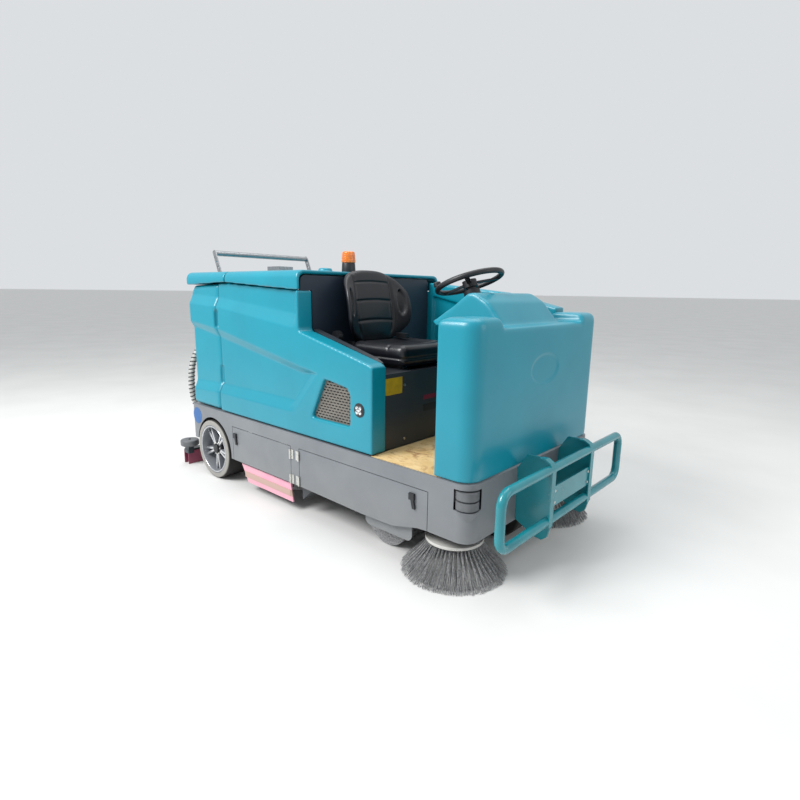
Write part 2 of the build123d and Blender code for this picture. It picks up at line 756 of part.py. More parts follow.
def make_side_shell_left():
    """Left cover: one double-walled moulding from the tail to the front cover."""
    y = (cover_side - cover_depth, cover_side)
    points = [
        (tail_x, cover_bottom), (tail_x, lid_edge_z(tail_x) - gap),
        (lid_seam_x, lid_edge_z(lid_seam_x) - gap),
        (bulkhead_x + 12, lid_edge_z(bulkhead_x) - gap),
        (bulkhead_x + 12, 1400.0), (690.0, 1338.0), (shell_rear_x - gap, 1250.0),
        (shell_rear_x - gap, cover_bottom),
    ]
    shell = side_profile(points, y)
    inner = [
        (tail_x + skin, cover_bottom - 1), (tail_x + skin, lid_edge_z(tail_x) - gap - skin),
        (lid_seam_x, lid_edge_z(lid_seam_x) - gap - skin),
        (bulkhead_x + 12, lid_edge_z(bulkhead_x) - gap - skin - 3),
        (bulkhead_x + 24, 1400.0 - skin - 3), (690.0, 1338.0 - skin),
        (shell_rear_x - gap - skin, 1250.0 - skin - 2), (shell_rear_x - gap - skin, cover_bottom - 1),
    ]
    shell -= side_profile(inner, (y[0] + skin, y[1] - skin))
    pocket_face = y[0] + 5
    shell -= side_profile(
        [(130, 980), (130, 1340), (660, 1278), (960, 1180), (960, 980)], (y[0] - 1, pocket_face))
    return one_solid(shell)


parts["side_shell_right"] = make_side_shell_right()
parts["side_grille"] = make_side_grille()
parts["rear_side_door"] = make_rear_side_door()
parts["side_shell_left"] = make_side_shell_left()


# ================================================================ roof lids
def make_lid(x0, x1, front_open):
    """Roof lid: crowned shell whose flanges hang to the shut line."""
    middle = [(x, lid_edge_z(x)) for x, _ in lid_edge if x0 < x < x1]
    low_edge = [(x0, lid_edge_z(x0))] + middle + [(x1, lid_edge_z(x1))]
    points = low_edge + [(x1, roof_height), (x0, roof_height)]
    lid = side_profile(points, (-cover_side, cover_side))
    lid = fillet(lid.edges().filter_by(Axis.X).group_by(Axis.Z)[-1], 46)
    reach = x1 + 1 if front_open else x1 - lid_wall
    cavity = block((x0 + lid_wall, reach), (-cover_side + lid_wall, cover_side - lid_wall),
                   (1300, roof_height - lid_wall))
    cavity = fillet(cavity.edges().filter_by(Axis.X).group_by(Axis.Z)[-1], 30)
    return lid - cavity


def make_tank_lid():
    """Front roof lid with its filler cap, as two solids."""
    lid = one_solid(make_lid(lid_seam_x + gap / 2, bulkhead_x + 2, True))
    cap = rod("z", (-120, -290, roof_height + 12.1), 44, 24)
    cap = fillet(cap.edges().group_by(Axis.Z)[-1], 6)
    return Compound(children=[lid, one_solid(cap)])


def make_rear_lid():
    """Rear roof lid."""
    return one_solid(make_lid(tail_x, lid_seam_x - gap / 2, False))


parts["tank_lid"] = make_tank_lid()
parts["rear_lid"] = make_rear_lid()


rail_foot_x = -1165.0
rail_top = (-1236.0, 1600.0)
rail_half = 430.0
rail_tube_radius = 20.0


def make_rear_rail():
    """Roof rail: round bar between two leaning perforated plates."""
    rail = rod("y", (rail_top[0], 0, rail_top[1]), rail_tube_radius, 2 * rail_half)
    for side in (-1, 1):
        y = sorted((side * (rail_half - 3), side * (rail_half + 5)))
        plate = side_profile(
            [(rail_foot_x - 26, roof_height + 0.2), (rail_foot_x + 22, roof_height + 0.2),
             (rail_top[0] + 22, rail_top[1] + 8), (rail_top[0] + 2, rail_top[1] + 24),
             (rail_top[0] - 22, rail_top[1] + 10)], y)
        for share in (0.3, 0.55, 0.78):
            hx = rail_foot_x + (rail_top[0] - rail_foot_x) * share
            hz = roof_height + (rail_top[1] - roof_height) * share
            plate -= rod("y", (hx, side * rail_half, hz), 9, 30)
        foot_y = sorted((side * (rail_half - 24), side * (rail_half + 24)))
        plate += block((rail_foot_x - 30, rail_foot_x + 30), foot_y,
                       (roof_height + 0.2, roof_height + 5))
        rail += plate
    box = block((-1010, -860), (-120, 10), (roof_height + 0.2, roof_height + 58))
    return Compound(children=[one_solid(rail), one_solid(box)])


parts["rear_rail"] = make_rear_rail()

beacon_place = (-215.0, 0.0)


def make_beacon():
    """Warning beacon: base and lens, as two solids."""
    x, y = beacon_place
    base = rod("z", (x, y, roof_height + 30.2), 50, 60)
    lens = rod("z", (x, y, roof_height + 60.4 + 44), 46, 88)
    lens = fillet(lens.edges().group_by(Axis.Z)[-1], 16)
    return Compound(children=[one_solid(base), one_solid(lens)])


parts["beacon"] = make_beacon()


# ================================================================ tanks, battery, bulkhead
tank_side = cover_side - cover_depth - 6
tank_split = 800.0


def make_recovery_tank():
    """Recovery tank: open at the top, under the lids."""
    x = (tank_rear, bulkhead_x - 26)
    outer = block(x, (-tank_side, tank_side), (tank_split + 4, 1330))
    inner = block((x[0] + 10, x[1] - 10), (-tank_side + 10, tank_side - 10), (tank_split + 14, 1331))
    return one_solid(outer - inner)


def make_solution_tank():
    """Clean water tank under the recovery tank."""
    x = (tank_rear, bulkhead_x - 26)
    tank = block(x, (-tank_side, tank_side), (cover_bottom, tank_split))
    tank -= block((x[0] + 10, x[1] - 10), (-tank_side + 10, tank_side - 10),
                  (cover_bottom + 10, tank_split + 1))
    return one_solid(tank)


def make_service_panel():
    """Dark moulded bulkhead behind the seat."""
    panel = block((bulkhead_x - 22, bulkhead_x - 4), (-cover_side + lid_wall + 7, tank_side),
                  (cover_bottom, roof_height - lid_wall - 8))
    panel = fillet(panel.edges().filter_by(Axis.X).group_by(Axis.Z)[-1], 34)
    low_corner = block((bulkhead_x - 30, bulkhead_x),
                       (-cover_side, -cover_side + cover_depth + 4), (0, lid_edge[-1][1] - gap + 2))
    return one_solid(panel - low_corner)


def make_battery_pack():
    """Traction battery in the seat box."""
    pack = block((120, 600), (-380, 380), (cover_bottom, seat_box_top - 60))
    return one_solid(fillet(pack.edges().filter_by(Axis.Z), 12))


parts["recovery_tank"] = make_recovery_tank()
parts["solution_tank"] = make_solution_tank()
parts["service_panel"] = make_service_panel()
parts["battery_pack"] = make_battery_pack()

# ================================================================ cab
coaming_outer = cover_side - cover_depth - 4
coaming_inner = coaming_outer - 44


def make_seat_box():
    """Painted steel box under the seat, with the raised coaming on the right."""
    side = tank_side
    outer = block((bulkhead_x + 2, seat_box_front), (-side, side), (cover_bottom, seat_box_top))
    inner = block((bulkhead_x - 2, seat_box_front - 5), (-side + 5, side - 5),
                  (cover_bottom - 1, seat_box_top - 5))
    coaming = side_profile(
        [(bulkhead_x + 2, seat_box_top - 4), (bulkhead_x + 2, step_z + 8),
         (seat_box_front - 96, cover_nose_top + 26), (seat_box_front - 52, cover_nose_top + 4),
         (seat_box_front - 34, cover_nose_top - 34), (seat_box_front - 30, seat_box_top - 4)],
        (-coaming_outer, -coaming_inner))
    return one_solid(outer - inner + coaming)


def make_floor_mat():
    """Loose sheet that covers the cab floor."""
    mat = block((seat_box_front + 4, shell_rear_x + 40), (-half_width + 14, half_width - 122),
                (deck_height + 0.2, deck_height + 4))
    return one_solid(mat)


seat_hinge_x = seat_rear + 106.0
seat_hinge_z = seat_top - 34.0
seat_pan = 208.0              # half width between the backrest's hinge ears


def make_seat_base():
    """Seat plate with slide rails, hinge ears and belt reel, as separate solids."""
    plate_low = seat_box_top + 14
    plate = block((seat_rear + 60, seat_front - 60), (seat_y - 190, seat_y + 190),
                  (plate_low, plate_low + 8))
    for side in (-1, 1):
        y = sorted((seat_y + side * 150, seat_y + side * 180))
        plate += block((seat_rear + 50, seat_front - 60), y, (seat_box_top + 0.3, plate_low + 2))
        y = sorted((seat_y + side * seat_pan, seat_y + side * (seat_pan + 10)))
        ear = (seat_hinge_x - 30, seat_hinge_x + 30)
        plate += block(ear, y, (plate_low, seat_hinge_z + 22))
        y = sorted((seat_y + side * 186, seat_y + side * (seat_pan + 10)))
        plate += block(ear, y, (plate_low, plate_low + 8))
        y_mid = seat_y + side * (seat_pan + 4)
        plate += rod("y", (seat_hinge_x, y_mid, seat_hinge_z), 9, 24)
    reel_y = seat_y - seat_width / 2 - 48
    reel = rod("y", (seat_hinge_x - 30, reel_y, seat_hinge_z + 56), 34, 34)
    stalk = block((seat_hinge_x - 42, seat_hinge_x - 18), (reel_y - 14, reel_y + 14),
                  (seat_box_top + 0.3, seat_hinge_z + 30))
    buckle_y = seat_y + 128
    buckle = block((seat_hinge_x + 76, seat_hinge_x + 160), (buckle_y - 18, buckle_y + 18),
                   (seat_top + 0.6, seat_top + 30))
    return Compound(children=[one_solid(plate), one_solid(reel + stalk), one_solid(buckle)])


def make_seat_cushion():
    """Seat cushion, plain and closed."""
    cushion = block((seat_hinge_x + 34, seat_front),
                    (seat_y - seat_width / 2, seat_y + seat_width / 2),
                    (seat_box_top + 22.4, seat_top))
    cushion = fillet(cushion.edges().filter_by(Axis.Z), 60)
    return one_solid(fillet(cushion.edges().group_by(Axis.Z)[-1], 24))


def make_seat_back():
    """Backrest with its wings, plain and closed."""
    low = seat_hinge_z - 16
    inner = (seat_y - seat_pan + 4, seat_y + seat_pan - 4)
    back = side_profile(
        [(seat_hinge_x - 24, low), (seat_hinge_x + 24, low), (seat_rear + 104, seat_top + 110),
         (seat_rear + 66, seat_back_top), (seat_rear, seat_back_top - 24),
         (seat_rear + 10, seat_top + 180), (seat_rear + 60, seat_top + 20)], inner)
    for side in (-1, 1):
        y = sorted((seat_y + side * (seat_pan - 5), seat_y + side * (seat_width / 2 + 28)))
        back += side_profile(
            [(seat_rear + 70, seat_top + 44), (seat_rear + 134, seat_top + 70),
             (seat_rear + 176, seat_top + 210), (seat_rear + 110, seat_back_top - 92),
             (seat_rear + 20, seat_back_top - 66), (seat_rear + 14, seat_top + 210)], y)
    back -= rod("y", (seat_hinge_x, seat_y, seat_hinge_z), 9 + running_clearance, 2 * seat_width)
    return one_solid(back)


parts["seat_box"] = make_seat_box()
parts["floor_mat"] = make_floor_mat()
parts["seat_base"] = make_seat_base()
parts["seat_cushion"] = make_seat_cushion()
parts["seat_back"] = make_seat_back()


# ================================================================ front cover and dash
def make_front_shell():
    """Front cover: rounded nose, saddle and raised instrument hood, open to the cab."""
    lower = block((shell_rear_x, shell_front_x), (-shell_half, shell_half),
                  (cover_bottom, shell_top))
    lower = rounded(lower, Axis.Z, 80.0, lambda e: e.center().X > shell_rear_x + 1)
    lower = fillet(lower.edges().group_by(Axis.Z)[-1], 40)
    inner = block((shell_rear_x - 1, shell_front_x - skin), (-shell_half + skin, shell_half - skin),
                  (cover_bottom - 1, shell_top - skin))
    inner = rounded(inner, Axis.Z, 72.0, lambda e: e.center().X > shell_rear_x + 1)
    inner = fillet(inner.edges().group_by(Axis.Z)[-1], 32)
    cut_half = hood_half + 130
    saddle = block((shell_rear_x - 2, shell_front_x + 1), (-cut_half, cut_half),
                   (saddle_top, shell_top + 1))
    inner -= block((shell_rear_x - 2, shell_front_x + 1), (-cut_half - skin, cut_half + skin),
                   (saddle_top - skin, shell_top + 1))
    shell = lower - saddle - inner
    hood_outline = [
        (776.0, 1182.0), (800.0, 1156.0), (shell_rear_x, 1120.0), (shell_rear_x, saddle_top - 2),
        (1214.0, saddle_top - 2), (1120.0, 1290.0), (1040.0, hood_top), (1000.0, hood_top),
        (915.0, 1270.0),
    ]
    hood = side_profile(hood_outline, (-hood_half, hood_half))
    hood_inner = [
        (770.0, 1160.0), (800.0, 1140.0), (shell_rear_x + 8, 1110.0), (shell_rear_x + 8, saddle_top),
        (1202.0, saddle_top), (1112.0, 1284.0), (1036.0, hood_top - skin), (1010.0, hood_top - skin),
        (922.0, 1262.0),
    ]
    hollow = side_profile(hood_inner, (-hood_half + skin, hood_half - skin))
    rim = 20
    mouth = side_profile([(740.0, 1190.0), (700.0, 1100.0), (1076.0, 1000.0), (1076.0, saddle_top),
                          (1010.0, hood_top - skin - 4), (985.0, hood_top + 10), (905.0, 1290.0)],
                         (-hood_half + rim, hood_half - rim))
    shell = shell + (hood - hollow - mouth)
    return one_solid(shell)


def column_point(height):
    """Point on the steering shaft's axis, this far below the wheel's hub."""
    lean = math.radians(steering_tilt)
    return (steering_x + height * math.sin(lean), steering_y,
            steering_z - height * math.cos(lean))


column_length = 560.0
column_top = 34.0


def make_steering_column():
    """Column tube from the floor to the wheel, with its upper boss and foot plate."""
    lean = Rot(0, -steering_tilt, 0)
    tube = Pos(*column_point(column_top + column_length / 2)) * lean * Cylinder(26, column_length)
    boss = Pos(*column_point(column_top + 62)) * lean * Cylinder(46, 96)
    end_x, end_y, end_z = column_point(column_top + column_length)
    foot = block((end_x - 70, end_x + 70), (end_y - 60, end_y + 60),
                 (deck_height + 4.6, deck_height + 14))
    strut = block((end_x - 24, end_x + 24), (end_y - 24, end_y + 24),
                  (deck_height + 10, end_z + 14))
    shaft = Pos(*column_point(column_top - 4)) * lean * Cylinder(11, 40)
    return one_solid(tube + boss + strut + foot + shaft)


def make_steering_wheel():
    """Rim, three spokes and hub."""
    rim = Solid.make_torus(steering_radius - steering_rim, steering_rim)
    wheel = Part() + rim
    for k in range(3):
        spoke = Pos((steering_radius - steering_rim) / 2, 0, -8) * Box(
            steering_radius - steering_rim, 26, 10)
        wheel += Rot(0, 0, 60 + 120 * k) * spoke
    wheel += Pos(0, 0, -12) * Cylinder(40, 40)
    wheel -= Pos(0, 0, -24) * Cylinder(11 + running_clearance, 40)
    return one_solid(Pos(*column_point(0)) * Rot(0, -steering_tilt, 0) * wheel)


def make_spinner_knob():
    """Spinner knob that stands on the wheel's rim, at its rear left."""
    a = math.radians(spinner_angle)
    place = Pos((steering_radius - steering_rim) * math.cos(a),
                (steering_radius - steering_rim) * math.sin(a), steering_rim + 0.3)
    knob = Pos(0, 0, 10) * Cylinder(9, 20) + Pos(0, 0, 32) * Cylinder(21, 26)
    knob = fillet(knob.edges().group_by(Axis.Z)[-1], 8)
    return one_solid(Pos(*column_point(0)) * Rot(0, -steering_tilt, 0) * place * knob)


spinner_angle = 200.0


dash_slope = math.degrees(math.atan2(1270.0 - 1182.0, 915.0 - 776.0))


def dash_point(along, depth):
    """Point (x, z) on the dash: along its slope from the hood's rear edge, and below its face."""
    a = math.radians(dash_slope)
    return (776 + along * math.cos(a) + depth * math.sin(a),
            1182 + along * math.sin(a) - depth * math.cos(a))


stop_place = (74.0, -215.0)


def make_dashboard_panel():
    """Sloping instrument panel between the hood's sides, in front of the driver."""
    outline = [dash_point(14, 20), dash_point(150, 20), dash_point(150, 26), dash_point(16, 26)]
    reach = hood_half - skin - 1
    panel = side_profile(outline, (-reach, reach))
    x, y, z = column_point(200)
    panel -= Pos(x, y, z) * Rot(0, -steering_tilt, 0) * Cylinder(54, 300)
    x, z = dash_point(stop_place[0], 20)
    panel -= Pos(x, stop_place[1], z) * Rot(0, -dash_slope, 0) * Cylinder(11 + running_clearance, 60)
    return one_solid(panel)


def make_emergency_stop():
    """Mushroom button on the instrument panel."""
    x, z = dash_point(stop_place[0], 20)
    button = Pos(0, 0, -8) * Cylinder(11, 40) + Pos(0, 0, 16) * Cylinder(20, 12)
    button = fillet(button.edges().group_by(Axis.Z)[-1], 4)
    return one_solid(Pos(x, stop_place[1], z) * Rot(0, -dash_slope, 0) * button)


pedal_x = 905.0
pedal_z = deck_height + 34.0
pedal_rise = 34.0             # degrees between the floor and a pedal at rest


def make_pedal(y, width):
    """Floor pedal: heel eye and a plate that rises forwards."""
    plate = Rot(0, -pedal_rise, 0) * Pos(66, 0, 0) * Box(150, width, 10)
    eye = Rot(90, 0, 0) * Cylinder(12, width * 0.7)
    return one_solid(Pos(pedal_x, y, pedal_z) * (plate + eye))


parts["front_shell"] = make_front_shell()
parts["dashboard_panel"] = make_dashboard_panel()
parts["steering_column"] = make_steering_column()
parts["steering_wheel"] = make_steering_wheel()
parts["spinner_knob"] = make_spinner_knob()
parts["emergency_stop"] = make_emergency_stop()
parts["accelerator_pedal"] = make_pedal(-220.0, 90.0)
parts["brake_pedal"] = make_pedal(90.0, 80.0)


# ================================================================ bumper and fasteners
bumper_plate_y = 232.0
bumper_x = bumper_face - bumper_tube
tube_low = 226.0
tube_high = 496.0
bend = 64.0


def make_bumper_frame():
    """Two looped tubes, two hooked mounting plates and the flat centre plate."""
    frame = Part()
    for side in (-1, 1):
        start = side * (bumper_plate_y - 60)
        outer = side * (bumper_half - bumper_tube)
        points = [(bumper_x, start, tube_high), (bumper_x, outer, tube_high),
                  (bumper_x, outer, tube_low), (bumper_x, start, tube_low)]
        frame += tube_path(points, [bend, bend], bumper_tube)
    for z in (tube_high, tube_low):
        frame += rod("y", (bumper_x, 0, z), bumper_tube, 2 * bumper_plate_y)
    for side in (-1, 1):
        y = sorted((side * (bumper_plate_y - 7), side * (bumper_plate_y + 7)))
        plate = side_profile(
            [(body_front + 0.3, 190), (bumper_x - 60, 128), (bumper_x - 20, 122),
             (bumper_x + 8, 144), (bumper_face, 200), (bumper_face, 498), (bumper_x + 8, 532),
             (bumper_x - 20, 548), (body_front + 50, 548), (body_front + 0.3, 470)], y)
        strap_y = sorted((side * (bumper_plate_y - 20), side * (bumper_plate_y + 20)))
        plate += side_profile(
            [(bumper_face, 200), (bumper_face, 498), (bumper_x + 8, 532), (bumper_x - 20, 548),
             (bumper_x - 52, 548), (bumper_x - 52, 540), (bumper_x - 23, 540),
             (bumper_x + 2, 526), (bumper_face - 8, 494), (bumper_face - 8, 200)], strap_y)
        frame += plate
    frame += block((bumper_face - 16, bumper_face - 8), (-bumper_plate_y, bumper_plate_y), (300, 404))
    return one_solid(frame)


parts["bumper_frame"] = make_bumper_frame()


def make_fasteners():
    """Exposed bolts, each its own solid."""
    heads = []

    def head(axis, centre, radius=7.0, height=5.0):
        heads.append(one_solid(rod(axis, centre, radius, height)))

    for side in (-1, 1):
        for z in (322, 382):
            head("x", (bumper_face - 5.3, side * (bumper_plate_y - 34), z))
        for z in (520, 828):
            head("x", (seat_box_front + 2.7, side * 380, z))
    return Compound(children=heads)


parts["fasteners"] = make_fasteners()

# ================================================================ write
os.makedirs("parts", exist_ok=True)
for name, shape in parts.items():
    solids = [Pos(0, 0, ride_height) * solid for solid in shape.solids()]
    lifted = solids[0] if len(solids) == 1 else Compound(children=solids)
    lifted.label = name
    export_step(lifted, os.path.join("parts", name + ".step"))
print("nodes", len(parts))
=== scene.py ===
"""Looks of a ride-on sweeper scrubber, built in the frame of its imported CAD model.

The CAD nodes give every place and size. Moulded covers, seat, brooms, wheels and hose are modelled
here in full detail and stand for their plain CAD solids. All lengths are in metres.
"""
import logging
import math
import random
from dataclasses import dataclass, field
from enum import Enum
from typing import Callable, Optional, Sequence

import bpy
from mathutils import Matrix, Vector


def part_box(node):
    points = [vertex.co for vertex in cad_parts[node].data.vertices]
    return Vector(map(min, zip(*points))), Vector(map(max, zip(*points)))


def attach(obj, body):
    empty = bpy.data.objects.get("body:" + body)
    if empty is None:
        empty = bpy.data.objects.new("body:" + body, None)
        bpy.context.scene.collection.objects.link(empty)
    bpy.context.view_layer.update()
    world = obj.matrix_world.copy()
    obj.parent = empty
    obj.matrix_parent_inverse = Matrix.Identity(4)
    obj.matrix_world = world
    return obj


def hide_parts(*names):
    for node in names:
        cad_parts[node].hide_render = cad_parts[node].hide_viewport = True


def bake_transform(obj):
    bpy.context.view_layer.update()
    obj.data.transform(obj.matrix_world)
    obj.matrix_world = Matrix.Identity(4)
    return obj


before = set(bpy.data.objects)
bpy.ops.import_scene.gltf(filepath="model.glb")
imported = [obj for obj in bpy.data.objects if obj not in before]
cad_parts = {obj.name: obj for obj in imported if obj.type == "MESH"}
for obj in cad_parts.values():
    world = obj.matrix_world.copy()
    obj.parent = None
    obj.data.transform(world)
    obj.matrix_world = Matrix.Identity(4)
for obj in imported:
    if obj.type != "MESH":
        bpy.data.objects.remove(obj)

LOG = logging.getLogger("sweeper")
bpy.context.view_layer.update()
Point = tuple[float, float, float]
Outline = Sequence[tuple[float, float]]


class Side(Enum):
    """Sides of the machine, as the sign of Y."""

    RIGHT = -1
    LEFT = 1

    @property
    def word(self) -> str:
        """Name of the side, as used in node and piece names."""
        return self.name.lower()


# ------------------------------------------------------------------ modelling with operators
def only(obj: bpy.types.Object) -> None:
    """Select one object and make it active.

    Args:
        obj: the object that the next operator acts on.
    """
    bpy.ops.object.select_all(action="DESELECT")
    obj.hide_set(False)
    obj.select_set(True)
    bpy.context.view_layer.objects.active = obj


def settle(obj: bpy.types.Object, name: str) -> bpy.types.Object:
    """Name an object and bake its place into its mesh.

    Args:
        obj: a freshly added object.
        name: its new name.

    Returns:
        The same object, at the origin, unturned and unscaled.
    """
    only(obj)
    obj.name = name
    obj.data.name = name
    bpy.ops.object.transform_apply(location=True, rotation=True, scale=True)
    return obj


def cube(name: str, low: Point, high: Point) -> bpy.types.Object:
    """Box between two corners.

    Args:
        name: name of the new object.
        low: lowest corner.
        high: highest corner.

    Returns:
        The new object.
    """
    bpy.ops.object.select_all(action="DESELECT")
    middle = [(a + b) / 2 for a, b in zip(low, high)]
    bpy.ops.mesh.primitive_cube_add(size=1, location=middle)
    obj = bpy.context.object
    obj.scale = [b - a for a, b in zip(low, high)]
    return settle(obj, name)


AXIS_TURN = {"x": (0, math.pi / 2, 0), "y": (math.pi / 2, 0, 0), "z": (0, 0, 0)}


def cylinder(name: str, centre: Point, radius: float, depth: float, axis: str = "z",
             vertices: int = 64, top: Optional[float] = None) -> bpy.types.Object:
    """Cylinder, or a cone frustum if the top radius differs.

    Args:
        name: name of the new object.
        centre: its middle.
        radius: radius at the low end of the axis.
        depth: length along the axis.
        axis: x, y or z.
        vertices: sides of the section.
        top: radius at the high end of the axis.

    Returns:
        The new object.
    """
    bpy.ops.object.select_all(action="DESELECT")
    turn = AXIS_TURN[axis]
    if axis == "y":
        turn = (-math.pi / 2, 0, 0)
    bpy.ops.mesh.primitive_cone_add(vertices=vertices, radius1=radius,
                                    radius2=radius if top is None else top, depth=depth,
                                    location=centre, rotation=turn)
    return settle(bpy.context.object, name)


def torus(name: str, centre: Point, major: float, minor: float, axis: str = "z",
          major_segments: int = 72, minor_segments: int = 14) -> bpy.types.Object:
    """Ring about an axis.

    Args:
        name: name of the new object.
        centre: its middle.
        major: radius of the ring.
        minor: radius of its section.
        axis: x, y or z.
        major_segments: steps round the ring.
        minor_segments: steps round the section.

    Returns:
        The new object.
    """
    bpy.ops.object.select_all(action="DESELECT")
    bpy.ops.mesh.primitive_torus_add(major_radius=major, minor_radius=minor, location=centre,
                                     rotation=AXIS_TURN[axis], major_segments=major_segments,
                                     minor_segments=minor_segments)
    return settle(bpy.context.object, name)


def loft(name: str, start: Outline, finish: Outline, y: tuple[float, float]) -> bpy.types.Object:
    """Solid between two outlines of equal point count, drawn in XZ at two values of Y.

    Args:
        name: name of the new object.
        start: outline at the first Y.
        finish: outline at the second Y.
        y: the two values of Y.

    Returns:
        The new object.
    """
    bpy.ops.object.select_all(action="DESELECT")
    bpy.ops.mesh.primitive_circle_add(vertices=len(start), fill_type="NGON")
    obj = bpy.context.object
    for vertex, (px, pz) in zip(obj.data.vertices, start):
        vertex.co = (px, y[0], pz)
    bpy.ops.object.mode_set(mode="EDIT")
    bpy.ops.mesh.select_all(action="SELECT")
    bpy.ops.mesh.extrude_region_move(TRANSFORM_OT_translate={"value": (0, y[1] - y[0], 0)})
    bpy.ops.object.mode_set(mode="OBJECT")
    moved = [vertex for vertex in obj.data.vertices if vertex.select]
    for vertex in moved:
        nearest = min(range(len(start)), key=lambda k: (vertex.co.x - start[k][0]) ** 2
                      + (vertex.co.z - start[k][1]) ** 2)
        vertex.co.x, vertex.co.z = finish[nearest]
    face_outwards(obj)
    return settle(obj, name)


def prism(name: str, outline: Outline, y: tuple[float, float]) -> bpy.types.Object:
    """Straight solid with one outline in XZ.

    Args:
        name: name of the new object.
        outline: its points.
        y: the two values of Y that it spans.

    Returns:
        The new object.
    """
    return loft(name, outline, outline, y)


def face_outwards(obj: bpy.types.Object) -> None:
    """Merge doubles and point all faces out of the solid.

    Args:
        obj: a closed mesh.
    """
    only(obj)
    bpy.ops.object.mode_set(mode="EDIT")
    bpy.ops.mesh.select_all(action="SELECT")
    bpy.ops.mesh.remove_doubles(threshold=1e-5)
    bpy.ops.mesh.normals_make_consistent(inside=False)
    bpy.ops.object.mode_set(mode="OBJECT")


def with_modifier(obj: bpy.types.Object, kind: str, **settings) -> bpy.types.Object:
    """Add a modifier, set it and apply it.

    Args:
        obj: the mesh that it works on.
        kind: Blender's modifier type.
        **settings: the modifier's properties.

    Returns:
        The same object.
    """
    only(obj)
    modifier = obj.modifiers.new(kind.lower(), kind)
    for key, value in settings.items():
        setattr(modifier, key, value)
    bpy.ops.object.modifier_apply(modifier=modifier.name)
    return obj


def combine(obj: bpy.types.Object, tool: bpy.types.Object, operation: str) -> bpy.types.Object:
    """Join, cut or intersect two solids, and drop the second.

    Args:
        obj: the solid that stays.
        tool: the solid that is used up.
        operation: UNION, DIFFERENCE or INTERSECT.

    Returns:
        The first object.
    """
    with_modifier(obj, "BOOLEAN", object=tool, operation=operation, solver="EXACT")
    bpy.data.objects.remove(tool, do_unlink=True)
    return obj


def bevel(obj: bpy.types.Object, width: float, segments: int = 3,
          angle: float = 28.0) -> bpy.types.Object:
    """Round the edges that are sharper than an angle.

    Args:
        obj: the mesh.
        width: radius of the rounding.
        segments: steps across it.
        angle: smallest turn, in degrees, that counts as an edge.

    Returns:
        The same object.
    """
    with_modifier(obj, "BEVEL", width=width, segments=segments, limit_method="ANGLE",
                  angle_limit=math.radians(angle), use_clamp_overlap=True)
    return smooth(obj)


def soften(obj: bpy.types.Object, voxel: float, passes: int) -> bpy.types.Object:
    """Give a solid the soft blended edges of a rotomoulded part.

    Args:
        obj: the mesh.
        voxel: size of the new mesh's faces.
        passes: how often the faces are relaxed.

    Returns:
        The same object.
    """
    with_modifier(obj, "REMESH", mode="VOXEL", voxel_size=voxel, adaptivity=0.0)
    with_modifier(obj, "SMOOTH", factor=0.5, iterations=passes)
    only(obj)
    bpy.ops.object.shade_smooth()
    return obj


def smooth(obj: bpy.types.Object, angle: float = 38.0) -> bpy.types.Object:
    """Shade smooth across edges flatter than an angle, in degrees."""
    only(obj)
    bpy.ops.object.shade_smooth_by_angle(angle=math.radians(angle))
    return obj


def copy_of(obj: bpy.types.Object, name: str, matrix: Matrix) -> bpy.types.Object:
    """Copy with a mesh of its own, moved by a matrix.

    Args:
        obj: the piece to repeat.
        name: the copy's name.
        matrix: how the copy is moved.

    Returns:
        The copy.
    """
    twin = obj.copy()
    twin.data = obj.data.copy()
    twin.name = name
    bpy.context.scene.collection.objects.link(twin)
    twin.data.transform(matrix)
    return twin


def join(name: str, objects: Sequence[bpy.types.Object]) -> bpy.types.Object:
    """Make one object of several.

    Args:
        name: name of the result.
        objects: the objects that are used up.

    Returns:
        The joined object.
    """
    bpy.ops.object.select_all(action="DESELECT")
    for obj in objects:
        obj.select_set(True)
    bpy.context.view_layer.objects.active = objects[0]
    if len(objects) > 1:
        bpy.ops.object.join()
    joined = bpy.context.view_layer.objects.active
    joined.name = name
    joined.data.name = name
    return joined


def turn_about(centre: Point, axis: Point, degrees: float) -> Matrix:
    """Rotation about a line.

    Args:
        centre: a point on the line.
        axis: its direction.
        degrees: the angle, by the right-hand rule.

    Returns:
        The rotation as a matrix.
    """
    there = Matrix.Translation(centre)
    return there @ Matrix.Rotation(math.radians(degrees), 4, Vector(axis)) @ there.inverted()


def round_bar(name: str, points: Sequence[Point], radius: float, sides: int = 6) -> bpy.types.Object:
    """Bar along a smooth line through control points, as a mesh.

    Args:
        name: name of the new object.
        points: control points of its middle line.
        radius: radius of the bar.
        sides: resolution of its section.

    Returns:
        The new mesh object.
    """
    curve = bpy.data.curves.new(name, "CURVE")
    curve.dimensions = "3D"
    curve.resolution_u = 10
    curve.bevel_depth = radius
    curve.bevel_resolution = sides
    curve.use_fill_caps = True
    spline = curve.splines.new("NURBS")
    spline.points.add(len(points) - 1)
    for target, source in zip(spline.points, points):
        target.co = (*source, 1)
    spline.order_u = 3
    spline.use_endpoint_u = True
    obj = bpy.data.objects.new(name, curve)
    bpy.context.scene.collection.objects.link(obj)
    only(obj)
    bpy.ops.object.convert(target="MESH")
    return smooth(settle(bpy.context.object, name), 60)


# ------------------------------------------------------------------ finishes
def linear(code: str, alpha: float = 1.0) -> tuple[float, float, float, float]:
    """Turn an sRGB hex colour to the linear values that Blender's sockets take.

    Args:
        code: six hex digits with a leading hash.
        alpha: opacity.

    Returns:
        Linear red, green, blue and alpha.
    """
    channels = [int(code[k:k + 2], 16) / 255 for k in (1, 3, 5)]
    scaled = [c / 12.92 if c <= 0.04045 else ((c + 0.055) / 1.055) ** 2.4 for c in channels]
    return (*scaled, alpha)


